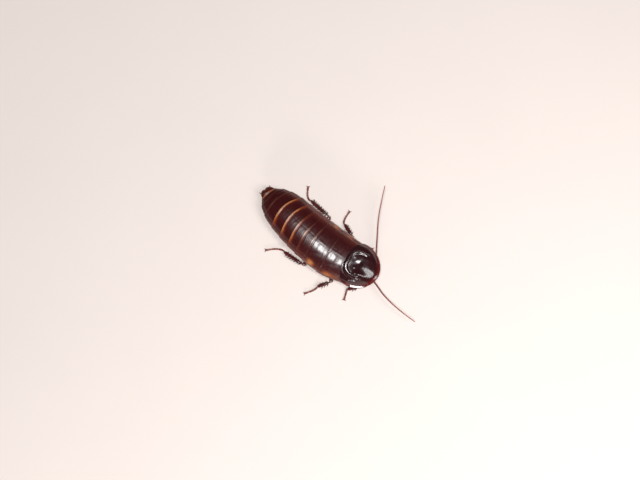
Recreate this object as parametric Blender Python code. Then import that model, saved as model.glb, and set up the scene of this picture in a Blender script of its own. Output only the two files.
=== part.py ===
"""Madagascar hissing cockroach, life size, at rest with its body bent a little to its left.

The head points toward -Y, the tail toward +Y, the back toward +Z, and +X is the animal's
left. Lengths are in millimetres until place() turns them into metres. A point of the body
is given as (s, lat, z): s runs along the bent midline from the front of the pronotum, lat
is the distance to the animal's left of it, and z is the height over the floor.
"""

import math
import random

import bmesh
import bpy
import numpy as np
from mathutils import Vector

MM = 0.001
GAP = 0.3

# The bend of the midline, and where the middle of the model's box lies from the bend's middle
BODY_LENGTH = 67.0
BEND_RADIUS = 135.0
BOX_CENTRE = (8.0, -11.85)

# How far the midline drifts to the animal's left of the even bend, as (s, millimetres)
DRIFT = ((12, 0.0), (22, -0.4), (34, 0.1), (44, 0.5), (52, 0.75), (60, 0.6), (67, 0.2))

# Half-width, height of the side edge, back and belly along the body, as (s, millimetres)
HALF_WIDTH = ((14, 10.5), (20, 11.2), (26, 11.5), (32, 11.3), (37, 11.1), (44, 10.7), (50, 10.2),
              (55, 9.4), (59, 8.0), (61.8, 6.5), (63.6, 4.8), (64.9, 3.6), (67.4, 2.4))
EDGE_HEIGHT = ((14, 5.5), (30, 5.4), (45, 4.9), (55, 4.5), (60, 4.3), (67, 4.4))
BACK_HEIGHT = ((14, 11.2), (24, 12.0), (36, 12.5), (46, 12.3), (54, 11.1), (60, 8.9), (64, 6.9), (67, 5.6))
BELLY_HEIGHT = ((32, 4.8), (36, 4.3), (40, 2.7), (46, 1.9), (56, 1.9), (62, 2.5), (66, 3.3))
BACK_ROUNDNESS = 1.15
BELLY_ROUNDNESS = 0.7

# Rear edges of the back plates: stations on the midline, and how far each edge bows to the tail
PLATE_NAMES = ("mesonotum", "metanotum") + tuple(f"tergite_{i}" for i in range(1, 8))
PLATE_REARS = (24.5, 33.0, 37.6, 42.4, 47.9, 53.5, 59.0, 62.4, 64.6)
REAR_BOWS = (0.8, 1.6, 1.9, 2.2, 2.7, 2.7, 2.2, 1.5, 0.7)
REAR_CORNER = 0.9
OVERLAP_STEP = 0.4
NOTUM_LIP = 0.7

# Rear edges of the belly plates; the first one lies under the first two tergites
STERNITE_REARS = (42.0, 47.0, 52.9, 58.2, 62.0, 65.6)
STERNITE_FRONT = 32.2

# Pronotum: widest station, reach to the front and rear, half-width and heights
PRONOTUM_MIDDLE = 11.0
PRONOTUM_FRONT_REACH = 11.15
PRONOTUM_REAR_REACH = 5.1
PRONOTUM_HALF_WIDTH = 10.3
PRONOTUM_TOP = 11.3
PRONOTUM_EDGE = 5.4
PRONOTUM_FRONT_LIFT = 1.8
PRONOTUM_THICKNESS = 1.1
PRONOTUM_EDGE_THICKNESS = 0.6

# Head: from the crown under the pronotum down to the mouth
CROWN = (4.5, 8.1)
MOUTH = (5.9, 2.3)
HEAD_HALF_WIDTHS = ((0.0, 1.6), (0.14, 3.0), (0.36, 3.55), (0.55, 3.2), (0.75, 2.4), (0.9, 1.8), (1.0, 1.3))
HEAD_HALF_DEPTHS = ((0.0, 0.7), (0.14, 1.6), (0.36, 1.95), (0.55, 1.8), (0.75, 1.4), (0.9, 1.1), (1.0, 0.8))
EYE_HEIGHT = 2.7
EYE_DEPTH = 1.7
EYE_BULGE = 0.75

# Each leg's joints: root and tip of the coxa, knee, end of the tibia, tip of the foot
LEGS = {
    "front_left": ((9.6, 5.2, 4.1), (12.2, 2.0, 3.7), (3.0, 5.4, 3.0), (7.0, 7.9, 1.3), (8.5, 11.4, 0.45)),
    "front_right": ((9.6, -5.2, 4.1), (12.2, -2.0, 3.7), (5.2, -7.7, 3.3), (10.0, -10.9, 1.3),
                    (9.1, -15.9, 0.45)),
    "middle_left": ((17.2, 7.0, 4.1), (21.3, 2.2, 3.7), (19.5, 11.4, 3.6), (27.1, 14.7, 1.3),
                    (29.1, 21.1, 0.45)),
    "middle_right": ((17.2, -7.0, 4.1), (21.3, -2.2, 3.7), (17.2, -11.6, 3.4), (21.2, -16.5, 1.3),
                     (24.0, -22.3, 0.45)),
    "hind_left": ((25.4, 7.2, 4.1), (31.0, 2.2, 3.7), (35.3, 12.4, 3.6), (48.9, 12.4, 1.3),
                  (55.5, 16.2, 0.45)),
    "hind_right": ((25.4, -7.2, 4.1), (31.0, -2.2, 3.7), (30.6, -12.4, 3.7), (41.3, -13.5, 1.3),
                   (47.5, -18.9, 0.45)),
}
HIP_DROP = 1.75
COXA_RADII = ((1.3, 0.5), (2.1, 0.56), (2.3, 0.6), (1.9, 0.6), (1.0, 0.5))
FEMUR_RADII = ((0.7, 0.5), (1.15, 0.7), (1.4, 0.75), (1.35, 0.75), (0.95, 0.7), (0.8, 0.65))
TIBIA_RADII = ((0.52, 0.5), (0.76, 0.62), (0.8, 0.62), (0.8, 0.62), (0.8, 0.6), (0.6, 0.45))
TIBIA_SAG = 0.35
TARSUS_RADIUS = 0.42
ANKLE_HEIGHT = 0.7
TOE_HEIGHT = 0.36
TARSUS_JOINTS = (0.34, 0.48, 0.59, 0.68, 1.0)
TARSUS_BOWS = {"front_left": 0.0, "front_right": 0.0, "middle_left": 0.85, "middle_right": 0.45,
               "hind_left": 1.0, "hind_right": -0.95}

# Spines of the tibiae: rows by their angle over the leg's outer side, with a spacing each
SPINE_ROWS = ((-8, 1.25), (48, 1.7), (132, 1.7), (188, 1.5))
SPINE_LENGTH = 1.4
SPINE_RADIUS = 0.27
SPINE_LEAN = 0.75
SPINE_SINK = 0.3
SPINE_FLOOR = 0.2
SPINE_SEED = 11
CLAW_REACH = 0.75
CLAW_SPREAD = 0.85
CLAW_RADIUS = 0.24

# Each feeler's way, from the socket on the head to the tip, as (s, lat, z)
ANTENNAE = {
    "antenna_left": ((3.2, 2.3, 5.3), (2.8, 4.2, 5.1), (5.2, 8.9, 4.5), (8.8, 16.4, 5.4), (12.6, 23.8, 6.6),
                     (15.7, 31.0, 7.2), (19.0, 38.6, 7.6)),
    "antenna_right": ((3.3, -2.3, 5.3), (0.9, -3.2, 5.0), (-5.3, -7.2, 6.0), (-12.4, -10.9, 7.4),
                      (-20.4, -14.4, 8.4)),
}
ANTENNA_RADIUS = 0.5
ANTENNA_TIP_RADIUS = 0.25

COLOURS = {
    "chitin_black": ("#1a100e", 0.28),
    "chitin_brown": ("#3a1510", 0.3),
    "chitin_amber": ("#6b2f1c", 0.35),
    "leg_maroon": ("#3d1512", 0.38),
    "foot_brown": ("#7a4433", 0.45),
    "eye_dark": ("#0c0909", 0.18),
}


def clear_scene():
    for thing in list(bpy.data.objects):
        bpy.data.objects.remove(thing, do_unlink=True)


def linear(value):
    return value / 12.92 if value <= 0.04045 else ((value + 0.055) / 1.055) ** 2.4


def make_material(name):
    colour, roughness = COLOURS[name]
    material = bpy.data.materials.new(name)
    material.use_nodes = True
    shader = material.node_tree.nodes["Principled BSDF"]
    channels = [linear(int(colour[i:i + 2], 16) / 255.0) for i in (1, 3, 5)]
    shader.inputs["Base Color"].default_value = (*channels, 1.0)
    shader.inputs["Roughness"].default_value = roughness
    shader.inputs["Metallic"].default_value = 0.0
    return material


def smooth(stations, s):
    """The value at s on the smooth curve through a few (s, value) stations."""
    keys = np.array([key for key, _ in stations], float)
    values = np.array([value for _, value in stations], float)
    slopes = np.gradient(values, keys)
    s = min(max(s, keys[0]), keys[-1])
    i = min(int(np.searchsorted(keys, s, side="right")) - 1, len(keys) - 2)
    span = keys[i + 1] - keys[i]
    t = (s - keys[i]) / span
    start = (1 + 2 * t) * (1 - t) ** 2 * values[i] + t * (1 - t) ** 2 * span * slopes[i]
    end = t * t * (3 - 2 * t) * values[i + 1] + t * t * (t - 1) * span * slopes[i + 1]
    return float(start + end)


def place(s, lat, z):
    """The world point, in metres, of body station s, offset lat and height z."""
    turn = (s - BODY_LENGTH / 2) / BEND_RADIUS
    lat += smooth(DRIFT, s)
    x = BEND_RADIUS * (1 - math.cos(turn)) + lat * math.cos(turn) - BOX_CENTRE[0]
    y = BEND_RADIUS * math.sin(turn) - lat * math.sin(turn) - BOX_CENTRE[1]
    return Vector((x, y, z)) * MM


def trail(points, count):
    """Evenly spread (s, lat, z) points on the smooth curve through a few chosen ones."""
    points = np.array(points, float)
    lengths = np.concatenate(([0.0], np.cumsum(np.linalg.norm(np.diff(points, axis=0), axis=1))))
    steps = np.linspace(0.0, lengths[-1], count)
    columns = [[smooth(list(zip(lengths, points[:, axis])), step) for step in steps] for axis in range(3)]
    return list(zip(*columns))


def close_loft(rings, first_pole=None, last_pole=None):
    """A closed mesh through rings of equally many points, its ends fanned to a point each."""
    bm = bmesh.new()
    layers = [[bm.verts.new(point) for point in ring] for ring in rings]
    count = len(rings[0])
    for near, far in zip(layers, layers[1:]):
        for i in range(count):
            j = (i + 1) % count
            bm.faces.new((near[i], near[j], far[j], far[i]))
    for layer, pole in ((layers[0], first_pole), (layers[-1], last_pole)):
        middle = pole if pole is not None else sum((v.co for v in layer), Vector()) / count
        centre = bm.verts.new(middle)
        for i in range(count):
            bm.faces.new((layer[i], layer[(i + 1) % count], centre))
    return bm


def largest_surface(bm):
    """Delete all but the largest connected surface of the mesh."""
    left = set(bm.verts)
    groups = []
    while left:
        group = set()
        stack = [left.pop()]
        while stack:
            vertex = stack.pop()
            group.add(vertex)
            for edge in vertex.link_edges:
                other = edge.other_vert(vertex)
                if other in left:
                    left.remove(other)
                    stack.append(other)
        groups.append(group)
    groups.sort(key=len)
    for group in groups[:-1]:
        bmesh.ops.delete(bm, geom=list(group), context="VERTS")


def fuse(thing, meshes):
    """Join closed meshes to the object in one union and keep its largest surface."""
    group = bpy.data.collections.new("pieces")
    for bm in meshes:
        group.objects.link(finish(bm, "piece", thing.data.materials[0]))
    union = thing.modifiers.new("union", "BOOLEAN")
    union.operation = "UNION"
    union.operand_type = "COLLECTION"
    union.collection = group
    union.solver = "EXACT"
    evaluated = thing.evaluated_get(bpy.context.evaluated_depsgraph_get())
    joined = bpy.data.meshes.new_from_object(evaluated)
    thing.modifiers.clear()
    for piece in list(group.objects):
        bpy.data.objects.remove(piece)
    bpy.data.collections.remove(group)
    bm = bmesh.new()
    bm.from_mesh(joined)
    largest_surface(bm)
    material = thing.data.materials[0]
    name = thing.name
    bpy.data.objects.remove(thing)
    return finish(bm, name, material)


def finish(bm, name, material):
    """Turn the mesh into the named object, with outward faces and smooth shading."""
    bmesh.ops.triangulate(bm, faces=bm.faces)
    bmesh.ops.recalc_face_normals(bm, faces=bm.faces)
    mesh = bpy.data.meshes.new(name)
    bm.to_mesh(mesh)
    bm.free()
    mesh.materials.append(material)
    mesh.shade_smooth()
    mesh.set_sharp_from_angle(angle=math.radians(40))
    thing = bpy.data.objects.new(name, mesh)
    bpy.context.collection.objects.link(thing)
    return thing


def tube(points, radii, sides):
    """A closed tube along (s, lat, z) points; each radius pair is (across, upright)."""
    path = [place(*point) for point in points]
    rings = []
    for i, centre in enumerate(path):
        along = (path[min(i + 1, len(path) - 1)] - path[max(i - 1, 0)]).normalized()
        across = along.cross(Vector((0, 0, 1))).normalized()
        upright = across.cross(along)
        wide, tall = radii[i]
        ring = []
        for k in range(sides):
            a = 2 * math.pi * k / sides
            ring.append(centre + (across * wide * math.cos(a) + upright * tall * math.sin(a)) * MM)
        rings.append(ring)
    return close_loft(rings)


def pronotum_rear(lat):
    """Station of the pronotum's rear edge at offset lat."""
    share = min(abs(lat), 9.5) / PRONOTUM_HALF_WIDTH
    return PRONOTUM_MIDDLE + PRONOTUM_REAR_REACH * (1 - share ** 2.5) ** 0.4


def plate_edge(index, v):
    """Station of the edge behind back plate index, at the share v of the half-width."""
    if index < 0:
        return pronotum_rear(v * 10.4) + GAP / 2
    corner = REAR_CORNER * abs(v) ** 6
    return PLATE_REARS[index] - REAR_BOWS[index] * v * v + corner


def back_point(s, v, inset, drop):
    """A point on the back at station s and width share v, inset and lowered a little."""
    half = smooth(HALF_WIDTH, s) - inset
    edge = smooth(EDGE_HEIGHT, s) + GAP / 2
    rise = smooth(BACK_HEIGHT, s) - edge - drop
    return half * v, edge + rise * max(0.0, 1 - v * v) ** (BACK_ROUNDNESS / 2)


def build_back_plate(index, material):
    """One plate of the back: a vaulted solid whose rear lip stands over the next plate."""
    name = PLATE_NAMES[index]
    notum = name.endswith("notum")
    shares = [math.sin(math.pi / 2 * k / 9) for k in range(-9, 10)]
    steps = ((0.0, 1.0), (0.12, 0.85), (0.5, 0.4), (0.85, 0.05), (0.94, 0.0), (1.0, 0.35))
    rings = []
    for f, sunk in steps:
        ring = []
        for v in shares:
            front = plate_edge(index - 1, v) + GAP / 2
            rear = plate_edge(index, v) - GAP / 2
            s = front + (rear - front) * f
            lat, z = back_point(s, v, OVERLAP_STEP * sunk, OVERLAP_STEP * sunk)
            ring.append(place(s, lat, z + (0.25 if abs(v) == 1 else 0.0)))
        lift = NOTUM_LIP if notum else 0.0
        for v in (0.97, 0.75, 0.3, -0.3, -0.75, -0.97):
            front = plate_edge(index - 1, v) + GAP / 2
            rear = plate_edge(index, v) - GAP / 2
            s = front + (rear - front) * f
            lat, z = back_point(s, v, OVERLAP_STEP * sunk, OVERLAP_STEP * sunk)
            floor = smooth(EDGE_HEIGHT, s) + GAP / 2
            ring.append(place(s, lat, floor + (lift if abs(v) < 0.9 else 0.0)))
        rings.append(ring)
    poles = []
    for f in (0.0, 1.0):
        s = plate_edge(index - 1, 0) + GAP / 2 if f == 0.0 else plate_edge(index, 0) - GAP / 2
        poles.append(place(s, 0, (smooth(EDGE_HEIGHT, s) + smooth(BACK_HEIGHT, s)) / 2))
    return finish(close_loft(rings, *poles), name, material)


def build_supra_anal_plate(material):
    """The short plate that ends the back over the vent."""
    front = PLATE_REARS[-1] + GAP / 2
    rings = []
    for run, half, top in ((0.0, 3.5, 6.3), (0.9, 3.2, 6.15), (1.9, 2.4, 5.7), (2.3, 1.4, 5.3)):
        s = front + run
        ring = []
        for k in range(9):
            v = -math.cos(math.pi * k / 8)
            vault = math.sqrt(max(0.0, 1 - v * v))
            ring.append(place(s + 0.3 * abs(v), half * v, 4.95 + (top - 4.95) * vault))
        for v in (0.8, 0.0, -0.8):
            ring.append(place(s + 0.3 * abs(v), half * v, 4.8))
        rings.append(ring)
    return finish(close_loft(rings), "supra_anal_plate", material)


def pronotum_reach(s, lat):
    """How far out toward the pronotum's edge a point is: 0 in the middle, 1 at the edge."""
    ahead = max(0.0, PRONOTUM_MIDDLE - s) / PRONOTUM_FRONT_REACH
    aside = abs(lat) / (PRONOTUM_HALF_WIDTH + 0.25)
    return min(1.0, (ahead ** 1.9 + aside ** 1.9) ** (1 / 1.9))


def pronotum_shell(s, lat):
    """Height of the pronotum's plain vault."""
    ahead = max(0.0, PRONOTUM_MIDDLE - s) / PRONOTUM_FRONT_REACH
    edge = PRONOTUM_EDGE + PRONOTUM_FRONT_LIFT * ahead ** 2
    return edge + (PRONOTUM_TOP - edge) * max(0.0, 1 - pronotum_reach(s, lat) ** 2.2) ** 0.6


def pronotum_relief(s, lat):
    """Height that the two humps, the hollow disc, the ridge round it and the brim add."""
    humps = 0.9 * math.exp(-(((s - 7.2) / 2.0) ** 2 + ((abs(lat) - 4.4) / 1.6) ** 2))
    disc = -0.6 * math.exp(-(((s - 10.6) / 2.6) ** 2 + (lat / 3.6) ** 2))
    behind = max(0.0, s - 9.0) / 5.9
    ring = (behind ** 2.7 + (abs(lat + 0.3) / 5.6) ** 2.7) ** (1 / 2.7) - 1
    ridge = 0.3 * math.exp(-(ring * 5.6 / 0.9) ** 2)
    brim = 0.3 * math.exp(-((1 - pronotum_reach(s, lat)) / 0.06) ** 2)
    return humps + disc + ridge + brim


def pronotum_outline(turn, share):
    """(s, lat) at a share of the way from the pronotum's middle to its edge."""
    ahead = math.cos(turn)
    power = 2 / 1.9 if ahead > 0 else 0.8
    reach = PRONOTUM_FRONT_REACH if ahead > 0 else PRONOTUM_REAR_REACH
    step = share * reach * abs(ahead) ** power * (1 if ahead > 0 else -1)
    side = share * PRONOTUM_HALF_WIDTH * abs(math.sin(turn)) ** power
    return PRONOTUM_MIDDLE - step, side * (1 if math.sin(turn) > 0 else -1)


def build_pronotum(material):
    """The shield over the head: a vaulted plate with two humps and a hollow disc."""
    sides = 36
    turns = [2 * math.pi * (k + 0.5) / sides for k in range(sides)]
    rings = []
    for share in (0.12, 0.3, 0.45, 0.6, 0.74, 0.86, 0.95, 1.0):
        spots = [pronotum_outline(turn, share) for turn in turns]
        rings.append([place(s, lat, pronotum_shell(s, lat) + pronotum_relief(s, lat)) for s, lat in spots])
    for share in (0.985, 0.9, 0.72, 0.45, 0.15):
        ring = []
        for s, lat in (pronotum_outline(turn, share) for turn in turns):
            reach = pronotum_reach(s, lat)
            depth = PRONOTUM_THICKNESS + (PRONOTUM_EDGE_THICKNESS - PRONOTUM_THICKNESS) * reach
            ring.append(place(s, lat, pronotum_shell(s, lat) - depth))
        rings.append(ring)
    middle = PRONOTUM_MIDDLE
    top = place(middle, 0, pronotum_shell(middle, 0) + pronotum_relief(middle, 0))
    bottom = place(middle, 0, pronotum_shell(middle, 0) - PRONOTUM_THICKNESS)
    return finish(close_loft(rings, top, bottom), "pronotum", material)


def build_prosternum(material):
    """The body under the pronotum, with the neck that the head hangs on."""
    rings = []
    stations = ((7.3, 1.8, 5.2), (8.0, 3.0, 5.0), (8.8, 5.6, 4.9), (12.0, 7.0, 4.9), (14.2, 6.8, 5.0))
    for s, half, low in stations:
        ring = []
        for k in range(-4, 5):
            lat = half * k / 4
            high = pronotum_shell(s, lat) - PRONOTUM_THICKNESS - GAP - 0.15
            ring.append(place(s, lat, min(high, 7.9) if s < 7.6 else high))
        for lat, lift in ((half, 0.9), (half * 0.7, 0.0), (-half * 0.7, 0.0), (-half, 0.9)):
            ring.append(place(s, lat, low + lift))
        rings.append(ring)
    return finish(close_loft(rings), "prosternum", material)


def build_sternum(name, front, rear, material):
    """The flat underside of one thorax segment, between its notum and its coxae."""
    rings = []
    for s in (front, (front + rear) / 2, rear):
        top = smooth(EDGE_HEIGHT, s) + NOTUM_LIP - GAP / 2
        low = 4.9
        half = min(8.0, 0.7 * smooth(HALF_WIDTH, s))
        ring = [place(s, lat, top) for lat in (-half, -half / 3, half / 3, half)]
        ring += [place(s, half * 0.97, low + 0.6)]
        ring += [place(s, lat, low) for lat in (half * 0.75, half * 0.25, -half * 0.25, -half * 0.75)]
        ring += [place(s, -half * 0.97, low + 0.6)]
        rings.append(ring)
    return finish(close_loft(rings), name, material)


def build_sternite(index, material):
    """One belly plate, from side edge to side edge under the tergites."""
    front = STERNITE_FRONT if index == 0 else STERNITE_REARS[index - 1] + GAP / 2
    rear = STERNITE_REARS[index] - GAP / 2
    last = index == len(STERNITE_REARS) - 1
    count = 6 if index == 0 else 4
    rings = []
    for k in range(count + 1):
        s = front + (rear - front) * k / count
        inset = 0.75 - 0.25 * k / count
        half = smooth(HALF_WIDTH, s) - inset
        top = smooth(EDGE_HEIGHT, s) - GAP / 2
        low = smooth(BELLY_HEIGHT, s) + 0.2 * (1 - k / count)
        if last and s > PLATE_REARS[-1] - 0.6:
            top = 3.5
        ring = []
        for j in range(13):
            v = math.cos(math.pi * j / 12)
            depth = (top - 0.35 - low) * max(0.0, 1 - v * v) ** (BELLY_ROUNDNESS / 2)
            ring.append(place(s, half * v, top - 0.35 - depth))
        ring += [place(s, half * v, top) for v in (-0.97, -0.4, 0.4, 0.97)]
        rings.append(ring)
    return finish(close_loft(rings), f"sternite_{index + 2}", material)


def build_cercus(side, material):
    """One of the two short tapering feelers at the tail."""
    sign = 1 if side == "left" else -1
    points = [(65.2 + 2.4 * k / 4, sign * (2.3 + 0.55 * k / 4), 4.15) for k in range(5)]
    radii = [(0.42, 0.36), (0.42, 0.36), (0.36, 0.34), (0.28, 0.27), (0.14, 0.14)]
    return finish(tube(points, radii, 8), f"cercus_{side}", material)


def head_point(t, turn):
    """(s, lat, z) on the head at share t from crown to mouth and angle turn round it."""
    half = smooth(HEAD_HALF_WIDTHS, t)
    depth = smooth(HEAD_HALF_DEPTHS, t)
    s = CROWN[0] + (MOUTH[0] - CROWN[0]) * t - depth * math.cos(turn)
    z = CROWN[1] + (MOUTH[1] - CROWN[1]) * t - 0.2 * depth * math.cos(turn)
    lat = half * math.sin(turn)
    return s, max(-3.35, min(3.35, lat)), z


def build_head(material):
    """The pear-shaped head, its face turned to the front and its mouth down."""
    turns = [2 * math.pi * k / 20 for k in range(20)]
    rings = [[place(*head_point(t, turn)) for turn in turns] for t in np.linspace(0, 1, 11)]
    crown = place(CROWN[0], 0, CROWN[1] + 0.25)
    return finish(close_loft(rings, crown, place(MOUTH[0], 0, MOUTH[1] - 0.2)), "head", material)


def build_eye(side, material):
    """A kidney-shaped eye standing off the side of the head."""
    sign = 1 if side == "left" else -1
    base = 3.35 + GAP
    rings = []
    for share in (1.0, 0.92, 0.7, 0.36):
        bulge = EYE_BULGE * math.sqrt(1 - share * share)
        ring = []
        for k in range(16):
            a = 2 * math.pi * k / 16
            s = 4.55 + 0.5 * EYE_DEPTH * share * math.cos(a)
            z = 6.15 + 0.5 * EYE_HEIGHT * share * math.sin(a)
            s += 0.25 * math.cos(2 * math.pi * (z - 6.15) / 6.0) * (math.cos(a) < 0)
            ring.append(place(s, sign * (base + bulge), z))
        rings.append(ring)
    outer = place(4.62, sign * (base + EYE_BULGE), 6.15)
    return finish(close_loft(rings, place(4.62, sign * base, 6.15), outer), f"eye_{side}", material)


def build_palp(side, material):
    """The jointed feeler beside the mouth."""
    sign = 1 if side == "left" else -1
    way = ((5.0, sign * 2.35, 3.2), (4.2, sign * 2.9, 2.3), (3.5, sign * 2.7, 1.4), (3.3, sign * 2.2, 0.75))
    points = trail(way, 9)
    radii = [(0.3 + 0.05 * math.sin(1.6 * k), 0.3 + 0.05 * math.sin(1.6 * k)) for k in range(9)]
    return finish(tube(points, radii, 8), f"palp_{side}", material)


def build_antenna(name, material):
    """A long ringed feeler that tapers to its tip."""
    count = 46
    points = trail(ANTENNAE[name], count)
    radii = []
    for k in range(count):
        share = k / (count - 1)
        radius = ANTENNA_RADIUS + (ANTENNA_TIP_RADIUS - ANTENNA_RADIUS) * share
        radius *= 1.0 if k % 2 else 0.9
        radii.append((radius, radius))
    return finish(tube(points, radii, 6), name, material)


def between(start, end, share, sag=0.0):
    """A point at a share of the way from start to end, raised by an arch of height sag."""
    s, lat, z = (a + (b - a) * share for a, b in zip(start, end))
    return s, lat, z + 4 * sag * share * (1 - share)


def shorten(start, end, cut_start, cut_end):
    """The stretch from start to end with lengths cut off its two ends."""
    length = math.dist(start, end)
    return between(start, end, cut_start / length), between(start, end, 1 - cut_end / length)


def knee_clearance(hip, knee, ankle):
    """How far from the knee a tibia starts, to lie clear of its femur's end."""
    fold = Vector(hip) - Vector(knee)
    angle = fold.angle(Vector(ankle) - Vector(knee))
    femur_half = FEMUR_RADII[-1][0]
    if angle > math.pi / 2:
        return femur_half + 0.1
    return (femur_half + TIBIA_RADII[0][0] * math.cos(angle) + GAP) / math.sin(angle)


def build_leg(name, materials):
    """The coxa, femur, tibia and tarsus of one leg."""
    root, hip, knee, ankle, toe = LEGS[name]
    build_limb(f"coxa_{name}", root, hip, COXA_RADII, 12, 0.0, materials["leg_maroon"])
    start, end = shorten((hip[0], hip[1], hip[2] - HIP_DROP), knee, 0.2, 0.25)
    build_limb(f"femur_{name}", start, end, FEMUR_RADII, 12, -0.1, materials["leg_maroon"])
    start, end = shorten(knee, ankle, knee_clearance(hip, knee, ankle), 0.2)
    tibia = build_limb(f"tibia_{name}", start, end, TIBIA_RADII, 10, TIBIA_SAG, materials["leg_maroon"])
    grow_spines(tibia, start, end, SPINE_SEED + len(bpy.data.objects))
    build_tarsus(name, ankle, toe, materials["foot_brown"])


def build_limb(name, start, end, radii, sides, sag, material):
    """One rod-like or flattened piece of a leg, with the radii spread along it."""
    count = len(radii)
    points = [between(start, end, k / (count - 1), sag) for k in range(count)]
    return finish(tube(points, radii, sides), name, material)


def make_spine(foot, direction, length):
    """A tapering spine from a foot point, sunk into what it grows on."""
    aside = direction.orthogonal().normalized()
    above = direction.cross(aside)
    turns = [2 * math.pi * k / 5 for k in range(5)]
    base = foot - direction * 0.08 * MM
    ring = [base + (aside * math.cos(a) + above * math.sin(a)) * SPINE_RADIUS * MM for a in turns]
    return close_loft([ring], foot - direction * SPINE_SINK * MM, foot + direction * length * MM)


def grow_spines(thing, start, end, seed):
    """Rows of spines along a tibia, longer toward its foot and leaning that way."""
    draw = random.Random(seed)
    first, last = place(*start), place(*end)
    along = (last - first).normalized()
    across = along.cross(Vector((0, 0, 1))).normalized()
    upright = across.cross(along)
    aside = place(start[0], math.copysign(99, start[1]), 0) - place(start[0], 0, 0)
    outward = 1 if across.dot(aside) > 0 else -1
    length = (last - first).length / MM
    spines = []
    for angle, spacing in SPINE_ROWS:
        for k in range(int((length - 1.3) / spacing)):
            share = (0.9 + k * spacing + draw.uniform(-0.12, 0.12)) / length
            turn = math.radians(angle + draw.uniform(-8, 8))
            out = across * outward * math.cos(turn) + upright * math.sin(turn)
            foot = place(*between(start, end, share, TIBIA_SAG)) + out * TIBIA_RADII[2][1] * MM
            direction = (out + along * (SPINE_LEAN + draw.uniform(-0.1, 0.1))).normalized()
            size = SPINE_LENGTH * (0.75 + 0.35 * share) * draw.uniform(0.9, 1.1)
            inner = math.cos(turn) < 0
            size *= 0.75 if inner else 1.0
            if foot.z + direction.z * size * MM < SPINE_FLOOR * MM:
                direction.z = 0.0
                direction.normalize()
            spines.append(make_spine(foot, direction, size))
    return fuse(thing, spines)


def make_claw(toe, along, aside):
    """One curved claw of a foot, its root sunk in the last lobe."""
    rings = []
    steps = ((-0.25, 0.1, 0.5, 1.0), (0.3, 0.4, 0.6, 0.95), (0.8, 0.8, 0.5, 0.6))
    for reach, spread, height, swell in steps:
        centre = toe + (along * reach * CLAW_REACH + aside * spread * CLAW_SPREAD) * MM
        centre.z = height * MM
        out = (aside + along).normalized()
        over = Vector((0, 0, 1))
        side = out.cross(over)
        turns = [2 * math.pi * k / 5 for k in range(5)]
        radius = CLAW_RADIUS * swell * MM
        rings.append([centre + (side * math.cos(a) + over * math.sin(a)) * radius for a in turns])
    tip = toe + (along * 0.95 * CLAW_REACH + aside * 1.1 * CLAW_SPREAD) * MM
    tip.z = 0.15 * MM
    return close_loft(rings, None, tip)


def tarsus_point(start, end, share, bow):
    """A point at a share of the way along a foot that bows to one side, most near its root."""
    s, lat, z = between(start, end, share)
    run, rise = end[0] - start[0], end[1] - start[1]
    reach = bow * math.sin(math.pi * share ** 0.7) / math.hypot(run, rise)
    return s + rise * reach, lat - run * reach, z


def build_tarsus(name, ankle, toe, material):
    """The foot: four short lobes and a long last one, flat where they stand on the floor."""
    bow = TARSUS_BOWS[name]
    start, end = shorten(ankle, toe, GAP, CLAW_REACH * 0.6)
    start = (start[0], start[1], ANKLE_HEIGHT)
    end = (end[0], end[1], TOE_HEIGHT)
    points = []
    radii = []
    joints = (0.0,) + TARSUS_JOINTS
    for first, last in zip(joints, joints[1:]):
        for share, swell in ((0.04, 0.72), (0.5, 0.95), (0.9, 1.1)):
            points.append(tarsus_point(start, end, first + (last - first) * share, bow))
            radii.append((TARSUS_RADIUS * swell, TARSUS_RADIUS * swell))
    bm = tube(points, radii, 8)
    for vertex in bm.verts:
        vertex.co.z = max(vertex.co.z, 0.0)
    thing = finish(bm, f"tarsus_{name}", material)
    tip = place(*end)
    along = tip - place(*tarsus_point(start, end, 0.8, bow))
    along.z = 0.0
    along.normalize()
    aside = along.cross(Vector((0, 0, 1)))
    return fuse(thing, [make_claw(tip, along, aside), make_claw(tip, along, -aside)])


def main():
    clear_scene()
    materials = {name: make_material(name) for name in COLOURS}
    build_pronotum(materials["chitin_black"])
    for index in range(len(PLATE_NAMES)):
        build_back_plate(index, materials["chitin_black"])
    build_supra_anal_plate(materials["chitin_brown"])
    build_prosternum(materials["chitin_brown"])
    build_sternum("mesosternum", 14.5, 24.2, materials["chitin_brown"])
    build_sternum("metasternum", 24.5, 31.9, materials["chitin_brown"])
    for index in range(len(STERNITE_REARS)):
        build_sternite(index, materials["chitin_brown"])
    build_head(materials["chitin_black"])
    for side in ("left", "right"):
        build_eye(side, materials["eye_dark"])
        build_palp(side, materials["foot_brown"])
        build_cercus(side, materials["chitin_amber"])
        build_antenna(f"antenna_{side}", materials["chitin_amber"])
    for name in LEGS:
        build_leg(name, materials)


main()
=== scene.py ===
# Madagascar hissing cockroach: shell plates, head, feelers and legs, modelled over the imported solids.
# Run as a script, it builds every piece. Sizes are millimetres, turned to metres at the last step.
# A point of the body is (s, lat, z): its station along the midline from the front of the pronotum,
# its offset to the animal's left and its height over the floor.

import math
import random

import bpy
import numpy as np
from bpy.props import FloatProperty, FloatVectorProperty, IntProperty, PointerProperty
from mathutils import Matrix, Vector


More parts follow.
